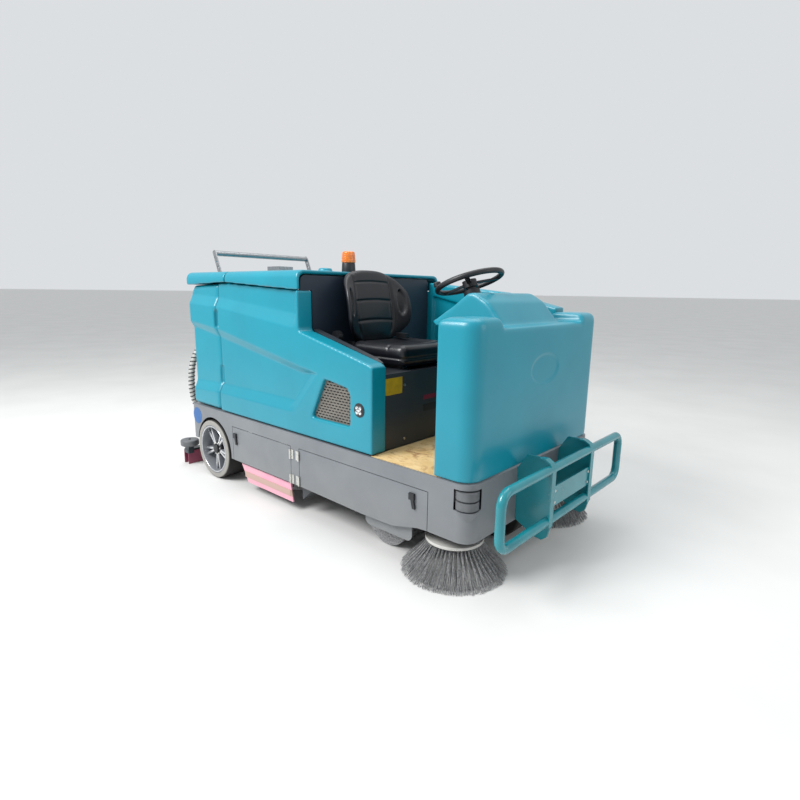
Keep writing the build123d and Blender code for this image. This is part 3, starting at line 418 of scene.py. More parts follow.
def add_node(tree: bpy.types.NodeTree, kind: str, settings: Optional[dict] = None,
             inputs: Optional[dict] = None, links: Optional[dict] = None) -> bpy.types.Node:
    """Add a node with its settings, socket values and links.

    Args:
        tree: the node tree.
        kind: Blender's node type.
        settings: properties of the node.
        inputs: values for its input sockets.
        links: input socket to the output socket that feeds it.

    Returns:
        The new node.
    """
    node = tree.nodes.new(kind)
    for key, value in (settings or {}).items():
        setattr(node, key, value)
    for key, value in (inputs or {}).items():
        node.inputs[key].default_value = value
    for key, source in (links or {}).items():
        tree.links.new(source, node.inputs[key])
    return node


MM = 1000.0                       # pattern scale of one repeat per millimetre, in metres


@dataclass(frozen=True)
class Finish:
    """One surface: what it is made of and how it was made, as numbers.

    Patches are slow drifts of colour, grain is the fine relief of the surface, and dust is what
    settles towards the floor.
    """

    name: str
    base: str
    patch: str
    patch_mm: float = 180.0
    rough: float = 0.4
    rough_swing: float = 0.08
    metallic: float = 0.0
    coat: float = 0.0
    ior: float = 1.5
    grain_mm: float = 3.0
    grain: float = 0.06
    stretch: Point = (1.0, 1.0, 1.0)
    cells: bool = False
    dust: Optional[str] = None
    dust_height: float = 0.0
    transmission: float = 0.0
    tint: Optional[Callable] = field(default=None, compare=False)

    def build(self) -> bpy.types.Material:
        """Make the material.

        Returns:
            The material, or the one already made under this name.
        """
        found = bpy.data.materials.get(self.name)
        if found is not None:
            return found
        material = bpy.data.materials.new(self.name)
        material.use_nodes = True
        material.diffuse_color = linear(self.base)
        tree = material.node_tree
        tree.nodes.clear()
        place = add_node(tree, "ShaderNodeTexCoord").outputs["Object"]
        spread = add_node(tree, "ShaderNodeMapping", inputs={"Scale": self.stretch},
                          links={"Vector": place}).outputs["Vector"]
        drift = add_node(tree, "ShaderNodeTexNoise",
                         inputs={"Scale": MM / self.patch_mm, "Detail": 5.0, "Roughness": 0.55},
                         links={"Vector": place})
        soft = add_node(tree, "ShaderNodeMapRange",
                        inputs={"From Min": 0.35, "From Max": 0.68},
                        links={"Value": drift.outputs["Fac"]})
        colour = add_node(tree, "ShaderNodeMix", {"data_type": "RGBA"},
                          {6: linear(self.base), 7: linear(self.patch)},
                          {0: soft.outputs["Result"]}).outputs[2]
        if self.tint is not None:
            colour = self.tint(tree, place, colour)
        if self.dust is not None:
            colour = self._dusted(tree, place, colour)
        rough = add_node(tree, "ShaderNodeMapRange",
                         inputs={"To Min": self.rough - self.rough_swing,
                                 "To Max": self.rough + self.rough_swing},
                         links={"Value": drift.outputs["Fac"]})
        relief = self._relief(tree, spread)
        shader = add_node(tree, "ShaderNodeBsdfPrincipled",
                          inputs={"Metallic": self.metallic, "Coat Weight": self.coat,
                                  "Coat Roughness": 0.12, "IOR": self.ior,
                                  "Transmission Weight": self.transmission},
                          links={"Base Color": colour, "Roughness": rough.outputs["Result"],
                                 "Normal": relief})
        add_node(tree, "ShaderNodeOutputMaterial", links={"Surface": shader.outputs["BSDF"]})
        return material

    def _relief(self, tree: bpy.types.NodeTree, spread: bpy.types.NodeSocket) -> bpy.types.NodeSocket:
        """Fine relief of the surface, as a normal."""
        if self.cells:
            grain = add_node(tree, "ShaderNodeTexVoronoi", {"feature": "DISTANCE_TO_EDGE"},
                             {"Scale": MM / self.grain_mm}, {"Vector": spread}).outputs["Distance"]
            grain = add_node(tree, "ShaderNodeMapRange", inputs={"From Max": 0.25},
                             links={"Value": grain}).outputs["Result"]
        else:
            grain = add_node(tree, "ShaderNodeTexNoise",
                             inputs={"Scale": MM / self.grain_mm, "Detail": 3.0},
                             links={"Vector": spread}).outputs["Fac"]
        bump = add_node(tree, "ShaderNodeBump",
                        inputs={"Strength": min(1.0, self.grain * 4), "Distance": self.grain / MM},
                        links={"Height": grain})
        return bump.outputs["Normal"]

    def _dusted(self, tree: bpy.types.NodeTree, place: bpy.types.NodeSocket,
                colour: bpy.types.NodeSocket) -> bpy.types.NodeSocket:
        """Colour with dust that thickens towards the floor."""
        height = add_node(tree, "ShaderNodeSeparateXYZ", links={"Vector": place}).outputs["Z"]
        low = add_node(tree, "ShaderNodeMapRange",
                       inputs={"From Min": self.dust_height, "From Max": 0.0, "To Max": 0.55},
                       links={"Value": height})
        clouds = add_node(tree, "ShaderNodeTexNoise", inputs={"Scale": MM / 60, "Detail": 8.0},
                          links={"Vector": place})
        share = add_node(tree, "ShaderNodeMath", {"operation": "MULTIPLY"},
                         links={0: low.outputs["Result"], 1: clouds.outputs["Fac"]})
        return add_node(tree, "ShaderNodeMix", {"data_type": "RGBA"}, {7: linear(self.dust)},
                        {0: share.outputs["Value"], 6: colour}).outputs[2]


WHEEL_X, WHEEL_Z = (sum(v) / 2 for v in
                    zip(*[(c.x, c.z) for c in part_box("rear_tyre_right")]))
WHEEL_RADIUS = (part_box("rear_tyre_right")[1].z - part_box("rear_tyre_right")[0].z) / 2


def ring_tint(tree: bpy.types.NodeTree, place: bpy.types.NodeSocket,
              colour: bpy.types.NodeSocket) -> bpy.types.NodeSocket:
    """Pale scuffed sidewall on a black tyre, by distance from the axle and from the tread.

    Args:
        tree: the node tree.
        place: object coordinates.
        colour: the tread's colour.

    Returns:
        The mixed colour.
    """
    centred = add_node(tree, "ShaderNodeVectorMath", {"operation": "SUBTRACT"},
                       {1: (WHEEL_X, 0, WHEEL_Z)}, {0: place}).outputs["Vector"]
    flat = add_node(tree, "ShaderNodeVectorMath", {"operation": "MULTIPLY"}, {1: (1, 0, 1)},
                    {0: centred}).outputs["Vector"]
    radius = add_node(tree, "ShaderNodeVectorMath", {"operation": "LENGTH"},
                      links={0: flat}).outputs["Value"]
    inside = add_node(tree, "ShaderNodeMapRange",
                      inputs={"From Min": WHEEL_RADIUS - 0.002, "From Max": WHEEL_RADIUS - 0.008},
                      links={"Value": radius}).outputs["Result"]
    return add_node(tree, "ShaderNodeMix", {"data_type": "RGBA"}, {7: linear("#8F8D88")},
                    {0: inside, 6: colour}).outputs[2]


def stain_tint(tree: bpy.types.NodeTree, place: bpy.types.NodeSocket,
               colour: bpy.types.NodeSocket) -> bpy.types.NodeSocket:
    """Brown scuffs and footmarks on a pale floor board.

    Args:
        tree: the node tree.
        place: object coordinates.
        colour: the board's colour.

    Returns:
        The mixed colour.
    """
    blotch = add_node(tree, "ShaderNodeTexNoise",
                      inputs={"Scale": MM / 150, "Detail": 9.0, "Roughness": 0.72,
                              "Distortion": 1.4}, links={"Vector": place}).outputs["Fac"]
    mark = add_node(tree, "ShaderNodeMapRange",
                    inputs={"From Min": 0.50, "From Max": 0.62, "To Max": 0.8},
                    links={"Value": blotch}).outputs["Result"]
    return add_node(tree, "ShaderNodeMix", {"data_type": "RGBA"}, {7: linear("#8A5A2C")},
                    {0: mark, 6: colour}).outputs[2]


SKIRT_LOW, SKIRT_HIGH = (corner.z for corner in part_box("deck_skirts"))


def band_tint(tree: bpy.types.NodeTree, place: bpy.types.NodeSocket,
              colour: bpy.types.NodeSocket) -> bpy.types.NodeSocket:
    """Beige stiffening strip across the middle of a pink skirt.

    Args:
        tree: the node tree.
        place: object coordinates.
        colour: the skirt's colour.

    Returns:
        The mixed colour.
    """
    height = add_node(tree, "ShaderNodeSeparateXYZ", links={"Vector": place}).outputs["Z"]
    middle = SKIRT_LOW + 0.45 * (SKIRT_HIGH - SKIRT_LOW)
    away = add_node(tree, "ShaderNodeMath", {"operation": "SUBTRACT"}, {1: middle},
                    {0: height}).outputs["Value"]
    away = add_node(tree, "ShaderNodeMath", {"operation": "ABSOLUTE"}, links={0: away})
    inside = add_node(tree, "ShaderNodeMapRange", inputs={"From Min": 0.022, "From Max": 0.020},
                      links={"Value": away.outputs["Value"]}).outputs["Result"]
    return add_node(tree, "ShaderNodeMix", {"data_type": "RGBA"}, {7: linear("#B3968B")},
                    {0: inside, 6: colour}).outputs[2]


def beacon_tint(tree: bpy.types.NodeTree, place: bpy.types.NodeSocket,
                colour: bpy.types.NodeSocket) -> bpy.types.NodeSocket:
    """Vertical prisms inside an amber lens, drawn 8 mm wide so that they show."""
    wave = add_node(tree, "ShaderNodeTexWave", {"bands_direction": "DIAGONAL"},
                    {"Scale": MM / 60, "Distortion": 0.0}, {"Vector": place}).outputs["Fac"]
    share = add_node(tree, "ShaderNodeMath", {"operation": "MULTIPLY"}, {1: 0.35}, {0: wave})
    return add_node(tree, "ShaderNodeMix", {"data_type": "RGBA"}, {7: linear("#D86A00")},
                    {0: share.outputs["Value"], 6: colour}).outputs[2]


# Rotomoulded polyethylene: dyed through, satin, with a faint orange peel from the mould.
TEAL_MOULDED = Finish("teal_polyethylene_rotomoulded", "#008599", "#017E92", 420, 0.34, 0.05,
                      coat=0.12, grain_mm=9, grain=0.05)
# Powder coat on sheet steel: even, slightly pebbled, dusty near the floor.
GREY_COATED = Finish("grey_powder_coat_on_steel", "#74787C", "#6C7075", 260, 0.42, 0.07,
                     grain_mm=2.2, grain=0.05, dust="#8C8880", dust_height=0.42)
# Wet paint on tube and plate: smoother and glossier than the covers.
TEAL_PAINTED = Finish("teal_paint_on_steel_tube", "#14828D", "#10757F", 160, 0.26, 0.06,
                      coat=0.35, grain_mm=5, grain=0.03)
DARK_COATED = Finish("dark_powder_coat_on_steel", "#2A343C", "#38393B", 300, 0.36, 0.06,
                     grain_mm=2.5, grain=0.05)
# Vacuum-formed dark sheet with a leather-like mould grain.
DARK_FORMED = Finish("navy_sheet_vacuum_formed", "#1D2835", "#222E3C", 220, 0.45, 0.06,
                     grain_mm=4, grain=0.12, cells=True)
TYRE = Finish("solid_tyre_rubber_moulded", "#161616", "#242220", 60, 0.72, 0.1,
              grain_mm=3, grain=0.25, tint=ring_tint)
PLAIN_RUBBER = Finish("black_rubber_moulded", "#151515", "#222120", 60, 0.7, 0.1, grain_mm=3,
                      grain=0.2)
WHEEL_PAINT = Finish("grey_paint_on_cast_wheel", "#8C8F94", "#7C8085", 70, 0.34, 0.08,
                     metallic=0.3, grain_mm=4, grain=0.08)
MACHINED = Finish("machined_aluminium_spoke_edge", "#DADADB", "#C2C3C6", 40, 0.22, 0.06,
                  metallic=0.85, grain_mm=0.8, grain=0.04)
GALVANISED = Finish("galvanised_steel_bar", "#A9ABAD", "#8E9194", 14, 0.34, 0.1, metallic=0.85,
                    grain_mm=11, grain=0.06, cells=True)
ZINC = Finish("zinc_plated_fastener", "#D9D8D4", "#B9B8B2", 12, 0.28, 0.08, metallic=0.9,
              grain_mm=1.5, grain=0.05)
BLACK_MOULDED = Finish("black_polypropylene_moulded", "#15171B", "#1E2024", 90, 0.42, 0.08,
                       grain_mm=1.6, grain=0.1)
SEAT_VINYL = Finish("black_vinyl_on_foam", "#080A10", "#0C0F17", 120, 0.36, 0.07, coat=0.08,
                    grain_mm=2.2, grain=0.12, cells=True)
BRISTLE = Finish("grey_nylon_bristle_extruded", "#9C9C9C", "#4B4D52", 9, 0.5, 0.08,
                 grain_mm=1.2, grain=0.2, stretch=(1, 1, 0.15))
DISC = Finish("pale_grey_disc_moulded", "#C9C8C4", "#B6B5B0", 80, 0.45, 0.08, grain_mm=2,
              grain=0.08, dust="#8C8880", dust_height=0.3)
ROLLER = Finish("grey_polyurethane_roller_cast", "#66686B", "#57595C", 60, 0.48, 0.08,
                grain_mm=2, grain=0.08)
BOARD = Finish("pale_floor_board_bare", "#D9BE8C", "#C9A96F", 90, 0.82, 0.06, grain_mm=2.5,
               grain=0.15, tint=stain_tint)
PINK_URETHANE = Finish("pink_polyurethane_skirt_cast", "#DB97AC", "#D5A2AE", 110, 0.42, 0.06,
                       grain_mm=5, grain=0.06, tint=band_tint)
RED_URETHANE = Finish("maroon_polyurethane_blade_cast", "#8F4058", "#7E3A50", 80, 0.4, 0.06,
                      grain_mm=4, grain=0.06)
HOSE_GREY = Finish("pale_hose_extruded", "#B9B9B5", "#A3A39E", 50, 0.5, 0.06, grain_mm=2,
                   grain=0.06)
TANK = Finish("natural_polyethylene_tank", "#B7BCB8", "#A9AFAB", 200, 0.5, 0.06, grain_mm=7,
              grain=0.06)
BATTERY = Finish("black_battery_case_moulded", "#1B1C1E", "#242528", 90, 0.5, 0.06, grain_mm=2,
                 grain=0.08)
AMBER = Finish("amber_polycarbonate_lens", "#FF7E00", "#FF8A08", 30, 0.12, 0.03, coat=0.6,
               ior=1.58, grain_mm=6, grain=0.05, transmission=0.25, tint=beacon_tint)
RED_MOULDED = Finish("red_button_moulded", "#B4121B", "#A01018", 20, 0.3, 0.05, coat=0.3,
                     grain_mm=2, grain=0.03)
YELLOW_LABEL = Finish("blank_yellow_label_printed", "#B79A10", "#A58A10", 30, 0.5, 0.05,
                      grain_mm=2, grain=0.02)
RED_LABEL = Finish("blank_red_label_printed", "#8A1C3C", "#7A1834", 30, 0.5, 0.05,
                   grain_mm=2, grain=0.02)
BLUE_LABEL = Finish("blank_blue_disc_printed", "#2C5F98", "#285890", 40, 0.45, 0.05,
                    grain_mm=2, grain=0.02)
GRILLE_PLATE = Finish("brown_grey_coat_on_perforated_steel", "#6E6A63", "#625E58", 60, 0.45, 0.06,
                      grain_mm=2, grain=0.05)
CHROME = Finish("chrome_plated_knob", "#E6E7E8", "#D2D4D6", 20, 0.12, 0.04, metallic=1.0,
                grain_mm=3, grain=0.02)

NODE_FINISH: dict[str, Finish] = {
    "chassis_frame": GREY_COATED, "door_front_right": GREY_COATED,
    "door_rear_right": GREY_COATED, "door_left": GREY_COATED,
    "corner_roller_right": ROLLER, "corner_roller_left": ROLLER,
    "latch_front_right": BLACK_MOULDED, "latch_rear_right": BLACK_MOULDED,
    "latch_left": BLACK_MOULDED, "door_hinges": ZINC,
    "rear_tyre_right": TYRE, "rear_tyre_left": TYRE,
    "rear_rim_right": WHEEL_PAINT, "rear_rim_left": WHEEL_PAINT,
    "front_fork": DARK_COATED, "drive_wheel": PLAIN_RUBBER,
    "broom_arm_right": DARK_COATED, "broom_arm_left": DARK_COATED,
    "broom_disc_right": DISC, "broom_disc_left": DISC,
    "broom_bristles_right": BRISTLE, "broom_bristles_left": BRISTLE,
    "main_broom": BRISTLE, "debris_hopper": DARK_COATED, "scrub_deck": DARK_COATED,
    "deck_skirts": PINK_URETHANE, "scrub_brush_right": BRISTLE, "scrub_brush_left": BRISTLE,
    "squeegee_frame": DARK_COATED, "squeegee_blades": RED_URETHANE,
    "squeegee_roller_right": ROLLER, "squeegee_roller_left": ROLLER,
    "squeegee_hose": HOSE_GREY, "side_shell_right": TEAL_MOULDED, "side_grille": DARK_COATED,
    "rear_side_door": TEAL_MOULDED, "side_shell_left": TEAL_MOULDED,
    "tank_lid": TEAL_MOULDED, "rear_lid": TEAL_MOULDED, "rear_rail": GALVANISED,
    "beacon": AMBER, "recovery_tank": TANK, "solution_tank": TANK,
    "service_panel": DARK_FORMED, "battery_pack": BATTERY, "seat_box": DARK_COATED,
    "floor_mat": BOARD, "seat_base": BLACK_MOULDED, "seat_cushion": SEAT_VINYL,
    "seat_back": SEAT_VINYL, "front_shell": TEAL_MOULDED, "dashboard_panel": BLACK_MOULDED,
    "steering_column": BLACK_MOULDED, "steering_wheel": BLACK_MOULDED,
    "spinner_knob": BLACK_MOULDED, "emergency_stop": RED_MOULDED,
    "accelerator_pedal": BLACK_MOULDED, "brake_pedal": BLACK_MOULDED,
    "bumper_frame": TEAL_PAINTED, "fasteners": ZINC,
}


def dress(obj: bpy.types.Object, finish: Finish) -> None:
    """Give every slot of an object one finish.

    Args:
        obj: a mesh object.
        finish: the finish.
    """
    material = finish.build()
    if not obj.material_slots:
        obj.data.materials.append(material)
    for slot in obj.material_slots:
        slot.material = material


def place_piece(obj: bpy.types.Object, finish: Finish, body: str,
                stands_for: Sequence[str] = ()) -> bpy.types.Object:
    """Dress a finished piece and fix it to a body of the frame.

    Args:
        obj: the piece.
        finish: its finish.
        body: the body that it moves with.
        stands_for: CAD nodes that it replaces.

    Returns:
        The piece.
    """
    dress(obj, finish)
    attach(obj, body)
    if stands_for:
        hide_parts(*stands_for)
    LOG.info("piece %s on %s, %d faces", obj.name, body, len(obj.data.polygons))
    return obj


# ------------------------------------------------------------------ sub-assemblies
SHELL_FACE = 0.654                # half width over the covers
COVER_DEPTH = 0.108               # thickness of the hollow side covers
TAIL_X, SEAM_X, BULKHEAD_X = -1.262, -0.870, 0.060
COVER_FOOT, SHUT_TAIL, SHUT_FRONT, ROOF = 0.536, 1.420, 1.396, 1.508
MOULD_VOXEL = 0.0075              # face size of the softened covers


RELIEF_LINES: dict[str, Outline] = {
    "upper_high": ((-1.151, 1.350), (-0.803, 1.332), (-0.012, 1.258)),
    "upper_low": ((-1.190, 1.286), (-0.822, 1.268), (-0.020, 1.176)),
    "groove_high": ((-1.202, 1.156), (-0.826, 1.116), (0.094, 0.948), (0.231, 0.926)),
    "groove_low": ((-1.175, 1.110), (-0.819, 1.054), (0.064, 0.909), (0.231, 0.922)),
    "lower_high": ((-1.264, 0.714), (-0.869, 0.726), (-0.111, 0.732), (-0.017, 0.727)),
    "lower_low": ((-1.288, 0.648), (-0.847, 0.668), (0.021, 0.664)),
}


def along(points: Outline, x: float) -> float:
    """Height of a broken line at a value of X, carried on level past its ends.

    Args:
        points: the line's corners, by growing X.
        x: where it is read.

    Returns:
        The height.
    """
    if x <= points[0][0]:
        return points[0][1]
    for (x0, z0), (x1, z1) in zip(points, points[1:]):
        if x <= x1:
            return z0 + (z1 - z0) * (x - x0) / (x1 - x0)
    return points[-1][1]


def ramp(value: float, start: float, finish: float) -> float:
    """Straight rise from 0 at the start to 1 at the finish, level outside them."""
    return min(1.0, max(0.0, (value - start) / (finish - start)))


def inside_outline(points: Outline, x: float, z: float) -> bool:
    """Tell if a place lies inside a closed outline, by counting crossings."""
    crossed = False
    for (x0, z0), (x1, z1) in zip(points, [*points[1:], points[0]]):
        if (z0 > z) != (z1 > z) and x < x0 + (x1 - x0) * (z - z0) / (z1 - z0):
            crossed = not crossed
    return crossed


@dataclass
class SideCovers:
    """Moulded teal covers on both sides: tank cover, rear door, lids and left wall."""

    voxel: float = MOULD_VOXEL
    blend_passes: int = 9
    upper_step: float = 0.030
    lower_step: float = 0.028
    press_reach: float = 0.09

    def build(self) -> None:
        """Model all the covers of the rear half."""
        self._right_cover()
        self._rear_door()
        self._left_cover()
        self._lids()

    def _press(self, obj: bpy.types.Object, side: Side, face: float) -> None:
        """Press the stepped relief into the outer face of a softened side cover.

        From the top down the face is set back, comes out along the upper band, goes in again
        along the groove, and comes out along the lower band.

        Args:
            obj: the softened cover.
            side: the side that it stands on.
            face: its outer face, as a value of Y.
        """
        for vertex in obj.data.vertices:
            co = vertex.co
            depth = side.value * (face - co.y)
            share = 1 - min(1.0, max(0.0, depth / self.press_reach))
            if share > 0:
                co.y -= side.value * share * self._set_back(co.x, co.z)

    def _set_back(self, x: float, z: float) -> float:
        """How far the face lies behind its furthest point, at a place on the side."""
        line = {name: along(points, x) for name, points in RELIEF_LINES.items()}
        upper = self.upper_step * ramp(z, line["upper_low"], line["upper_high"])
        upper *= 1 - ramp(x, 0.0, 0.05)
        start = line["groove_high"]
        between = ramp(z, start, min(line["groove_low"], start - 0.004))
        between *= 1 - ramp(z, line["lower_high"], line["lower_low"])
        crease = x - (z - 0.70) * 0.9
        between *= 1 - ramp(crease, -0.05, 0.03)
        return upper + self.lower_step * between

    def _right_cover(self) -> None:
        """Cover over the tanks, with its relief bands and the finger slots of the door."""
        low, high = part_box("side_shell_right")
        outline = [(SEAM_X + 0.004, COVER_FOOT), (0.668, COVER_FOOT), (0.668, 1.004),
                   (0.640, 1.020), (BULKHEAD_X + 0.012, 1.156), (BULKHEAD_X, 1.168),
                   (BULKHEAD_X, SHUT_FRONT - 0.006), (-0.737, 1.433), (SEAM_X + 0.004, 1.430)]
        outline = [(min(max(x, low.x), high.x), min(max(z, low.z), high.z)) for x, z in outline]
        cover = prism("right_tank_cover", outline, (-SHELL_FACE + 0.006, -SHELL_FACE + COVER_DEPTH))
        window = prism("grille_window", self._grille(1.0), (-SHELL_FACE - 0.05, -SHELL_FACE + 0.2))
        combine(cover, window, "DIFFERENCE")
        for top, bottom in ((1.248, 1.123), (0.857, 0.725)):
            slot = cube("finger_slot", (SEAM_X - 0.02, -SHELL_FACE - 0.02, bottom),
                        (SEAM_X + 0.024, -SHELL_FACE + 0.034, top))
            combine(cover, slot, "DIFFERENCE")
        soften(cover, self.voxel, self.blend_passes)
        self._hold_inside(cover, "side_shell_right")
        self._press(cover, Side.RIGHT, low.y)
        place_piece(cover, TEAL_MOULDED, "chassis", ["side_shell_right"])

    @staticmethod
    def _grille(scale: float) -> Outline:
        """Outline of the grille's window, grown by a scale about its middle."""
        points = [(0.285, 0.902), (0.475, 0.872), (0.499, 0.836), (0.497, 0.662), (0.167, 0.662)]
        mx = sum(p[0] for p in points) / len(points)
        mz = sum(p[1] for p in points) / len(points)
        return [(mx + (x - mx) * scale, mz + (z - mz) * scale) for x, z in points]

    def _rear_door(self) -> None:
        """Door in the rear corner, carrying on the relief of the cover."""
        low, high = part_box("rear_side_door")
        outline = [(TAIL_X, COVER_FOOT), (SEAM_X - 0.004, COVER_FOOT), (SEAM_X - 0.004, 1.430),
                   (TAIL_X + 0.05, SHUT_TAIL - 0.006), (TAIL_X, SHUT_TAIL - 0.05)]
        outline = [(max(x, low.x), min(z, high.z)) for x, z in outline]
        door = prism("rear_corner_door", outline, (-SHELL_FACE + 0.006, high.y))
        bevel(door, 0.03, 5, 40)
        for top, bottom in ((1.248, 1.123), (0.857, 0.725)):
            slot = cube("finger_slot", (SEAM_X - 0.028, -SHELL_FACE - 0.02, bottom),
                        (SEAM_X + 0.02, -SHELL_FACE + 0.034, top))
            combine(door, slot, "DIFFERENCE")
        soften(door, self.voxel, self.blend_passes)
        self._hold_inside(door, "rear_side_door")
        self._press(door, Side.RIGHT, low.y)
        place_piece(door, TEAL_MOULDED, "rear_side_door", ["rear_side_door"])

    def _left_cover(self) -> None:
        """Tall left wall with the recessed pocket on its inner face."""
        low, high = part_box("side_shell_left")
        outline = [(TAIL_X, COVER_FOOT), (1.074, COVER_FOOT), (1.074, 1.306), (0.690, 1.394),
                   (0.069, ROOF), (BULKHEAD_X, ROOF), (BULKHEAD_X, SHUT_FRONT - 0.006),
                   (-0.737, 1.433), (TAIL_X + 0.03, SHUT_TAIL - 0.006), (TAIL_X, 1.39)]
        outline = [(min(max(x, low.x), high.x), min(max(z, low.z), high.z)) for x, z in outline]
        wall = prism("left_wall_cover", outline, (high.y, high.y - COVER_DEPTH))
        pocket = prism("pocket", [(0.10, 1.02), (0.66, 1.02), (0.66, 1.24), (0.309, 1.316),
                                  (0.10, 1.36)], (high.y - COVER_DEPTH - 0.03,
                                                  high.y - COVER_DEPTH + 0.022))
        combine(wall, pocket, "DIFFERENCE")
        soften(wall, self.voxel, self.blend_passes + 4)
        self._hold_inside(wall, "side_shell_left")
        self._press(wall, Side.LEFT, high.y)
        place_piece(wall, TEAL_MOULDED, "chassis", ["side_shell_left"])

    def _lids(self) -> None:
        """Tank lid with its filler cap, and rear lid with its flat shoulder."""
        for node, body in (("tank_lid", "tank_lid"), ("rear_lid", "rear_lid")):
            solid = copy_of(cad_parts[node], "soft_" + node, Matrix.Identity(4))
            face_outwards(solid)
            soften(solid, self.voxel, self.blend_passes)
            self._hold_inside(solid, node)
            place_piece(solid, TEAL_MOULDED, body, [node])

    @staticmethod
    def _hold_inside(obj: bpy.types.Object, node: str) -> None:
        """Bring a softened piece to the exact size and place of its CAD node.

        Args:
            obj: the softened piece.
            node: the CAD node that it stands for.
        """
        low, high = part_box(node)
        co = [vertex.co for vertex in obj.data.vertices]
        at_low = Vector([min(c[k] for c in co) for k in range(3)])
        at_high = Vector([max(c[k] for c in co) for k in range(3)])
        scale = [(high[k] - low[k]) / max(1e-6, at_high[k] - at_low[k]) for k in range(3)]
        for vertex in obj.data.vertices:
            vertex.co = [low[k] + (vertex.co[k] - at_low[k]) * scale[k] for k in range(3)]


@dataclass
class FrontCover:
    """Teal nose with the hood over the steering column."""

    voxel: float = MOULD_VOXEL
    blend_passes: int = 34

    def build(self) -> None:
        """Model the nose from its CAD solid, softened, with the oval recess in front."""
        nose = copy_of(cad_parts["front_shell"], "front_nose_cover", Matrix.Identity(4))
        face_outwards(nose)
        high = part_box("front_shell")[1]
        soften(nose, self.voxel, self.blend_passes)
        SideCovers._hold_inside(nose, "front_shell")
        for vertex in nose.data.vertices:
            co = vertex.co
            if co.x < high.x - 0.02:
                continue
            reach = math.hypot(co.y / 0.151, (co.z - 1.008) / 0.0775)
            co.x -= 0.005 * (1 - ramp(reach, 0.93, 1.02))
        only(nose)
        bpy.ops.object.shade_smooth()
        place_piece(nose, TEAL_MOULDED, "chassis", ["front_shell"])


@dataclass
class Wheels:
    """Rear wheels: dished five-spoke discs in the CAD tyres, and their hub bolts."""

    spokes: int = 5

    def build(self) -> None:
        """Model both wheel discs."""
        for side in Side:
            self._disc(side)

    def _disc(self, side: Side) -> None:
        """Wheel disc of one side, with its spokes, edges, hub and bolts."""
        node = "rear_rim_" + side.word
        low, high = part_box(node)
        x, z = (low.x + high.x) / 2, (low.z + high.z) / 2
        outer = high.y if side is Side.LEFT else low.y
        inner = low.y if side is Side.LEFT else high.y
        reach = inner - outer
        radius = (high.z - low.z) / 2
        barrel = cylinder("barrel", (x, (outer + inner) / 2, z), radius, abs(reach), "y", 96)
        hollow = cylinder("hollow", (x, (outer + inner) / 2, z), radius * 0.90, abs(reach) + 0.02,
                          "y", 96)
        combine(barrel, hollow, "DIFFERENCE")
        bevel(barrel, 0.004, 3)
        backing = cylinder("backing", (x, outer + reach * 0.42, z), radius * 0.92, 0.012, "y", 96)
        hub = cylinder("hub", (x, outer + reach * 0.30, z), radius * 0.30, abs(reach) * 0.26, "y",
                       64)
        bevel(hub, 0.006, 3)
        boss = cylinder("boss", (x, outer + reach * 0.15, z), radius * 0.17, abs(reach) * 0.14,
                        "y", 48)
        bevel(boss, 0.004, 3)
        parts = [barrel, backing]
        place_piece(smooth(join(f"wheel_hub_{side.word}", [hub, boss])), BLACK_MOULDED,
                    "rear_wheel_" + side.word)
        edges: list[bpy.types.Object] = []
        for k in range(self.spokes):
            for twin in (-1, 1):
                turn = turn_about((x, 0, z), (0, 1, 0), k * 360 / self.spokes + 18 + twin * 8)
                y0, y1 = sorted((outer + reach * 0.16, outer + reach * 0.36))
                spoke = cube("spoke", (x + radius * 0.20, y0, z - 0.010),
                             (x + radius * 0.93, y1, z + 0.010))
                bevel(spoke, 0.004, 2)
                spoke.data.transform(turn)
                parts.append(spoke)
                face = outer + reach * 0.155
                rib = cube("rib", (x + radius * 0.22, min(face, face + reach * 0.012), z - 0.006),
                           (x + radius * 0.90, max(face, face + reach * 0.012), z + 0.006))
                rib.data.transform(turn)
                edges.append(rib)
        wheel = join(f"wheel_disc_{side.word}", parts)
        body = "rear_wheel_" + side.word
        place_piece(smooth(wheel), WHEEL_PAINT, body, [node])
        lip_y = outer + reach * 0.012
        lip = torus("lip", (x, lip_y, z), radius * 0.935, radius * 0.022, "y")
        edges.append(lip)
        place_piece(smooth(join(f"wheel_machined_edges_{side.word}", edges)), MACHINED, body)
        bolts = []
        for k in range(6):
            angle = math.radians(k * 60 + 10)
            spot = (x + radius * 0.235 * math.cos(angle), outer + reach * 0.155,
                    z + radius * 0.235 * math.sin(angle))
            bolt = cylinder("bolt", spot, 0.0075, abs(reach) * 0.05, "y", 6)
            bolts.append(bevel(bolt, 0.001, 1))
        place_piece(join(f"wheel_bolts_{side.word}", bolts), ZINC, body)


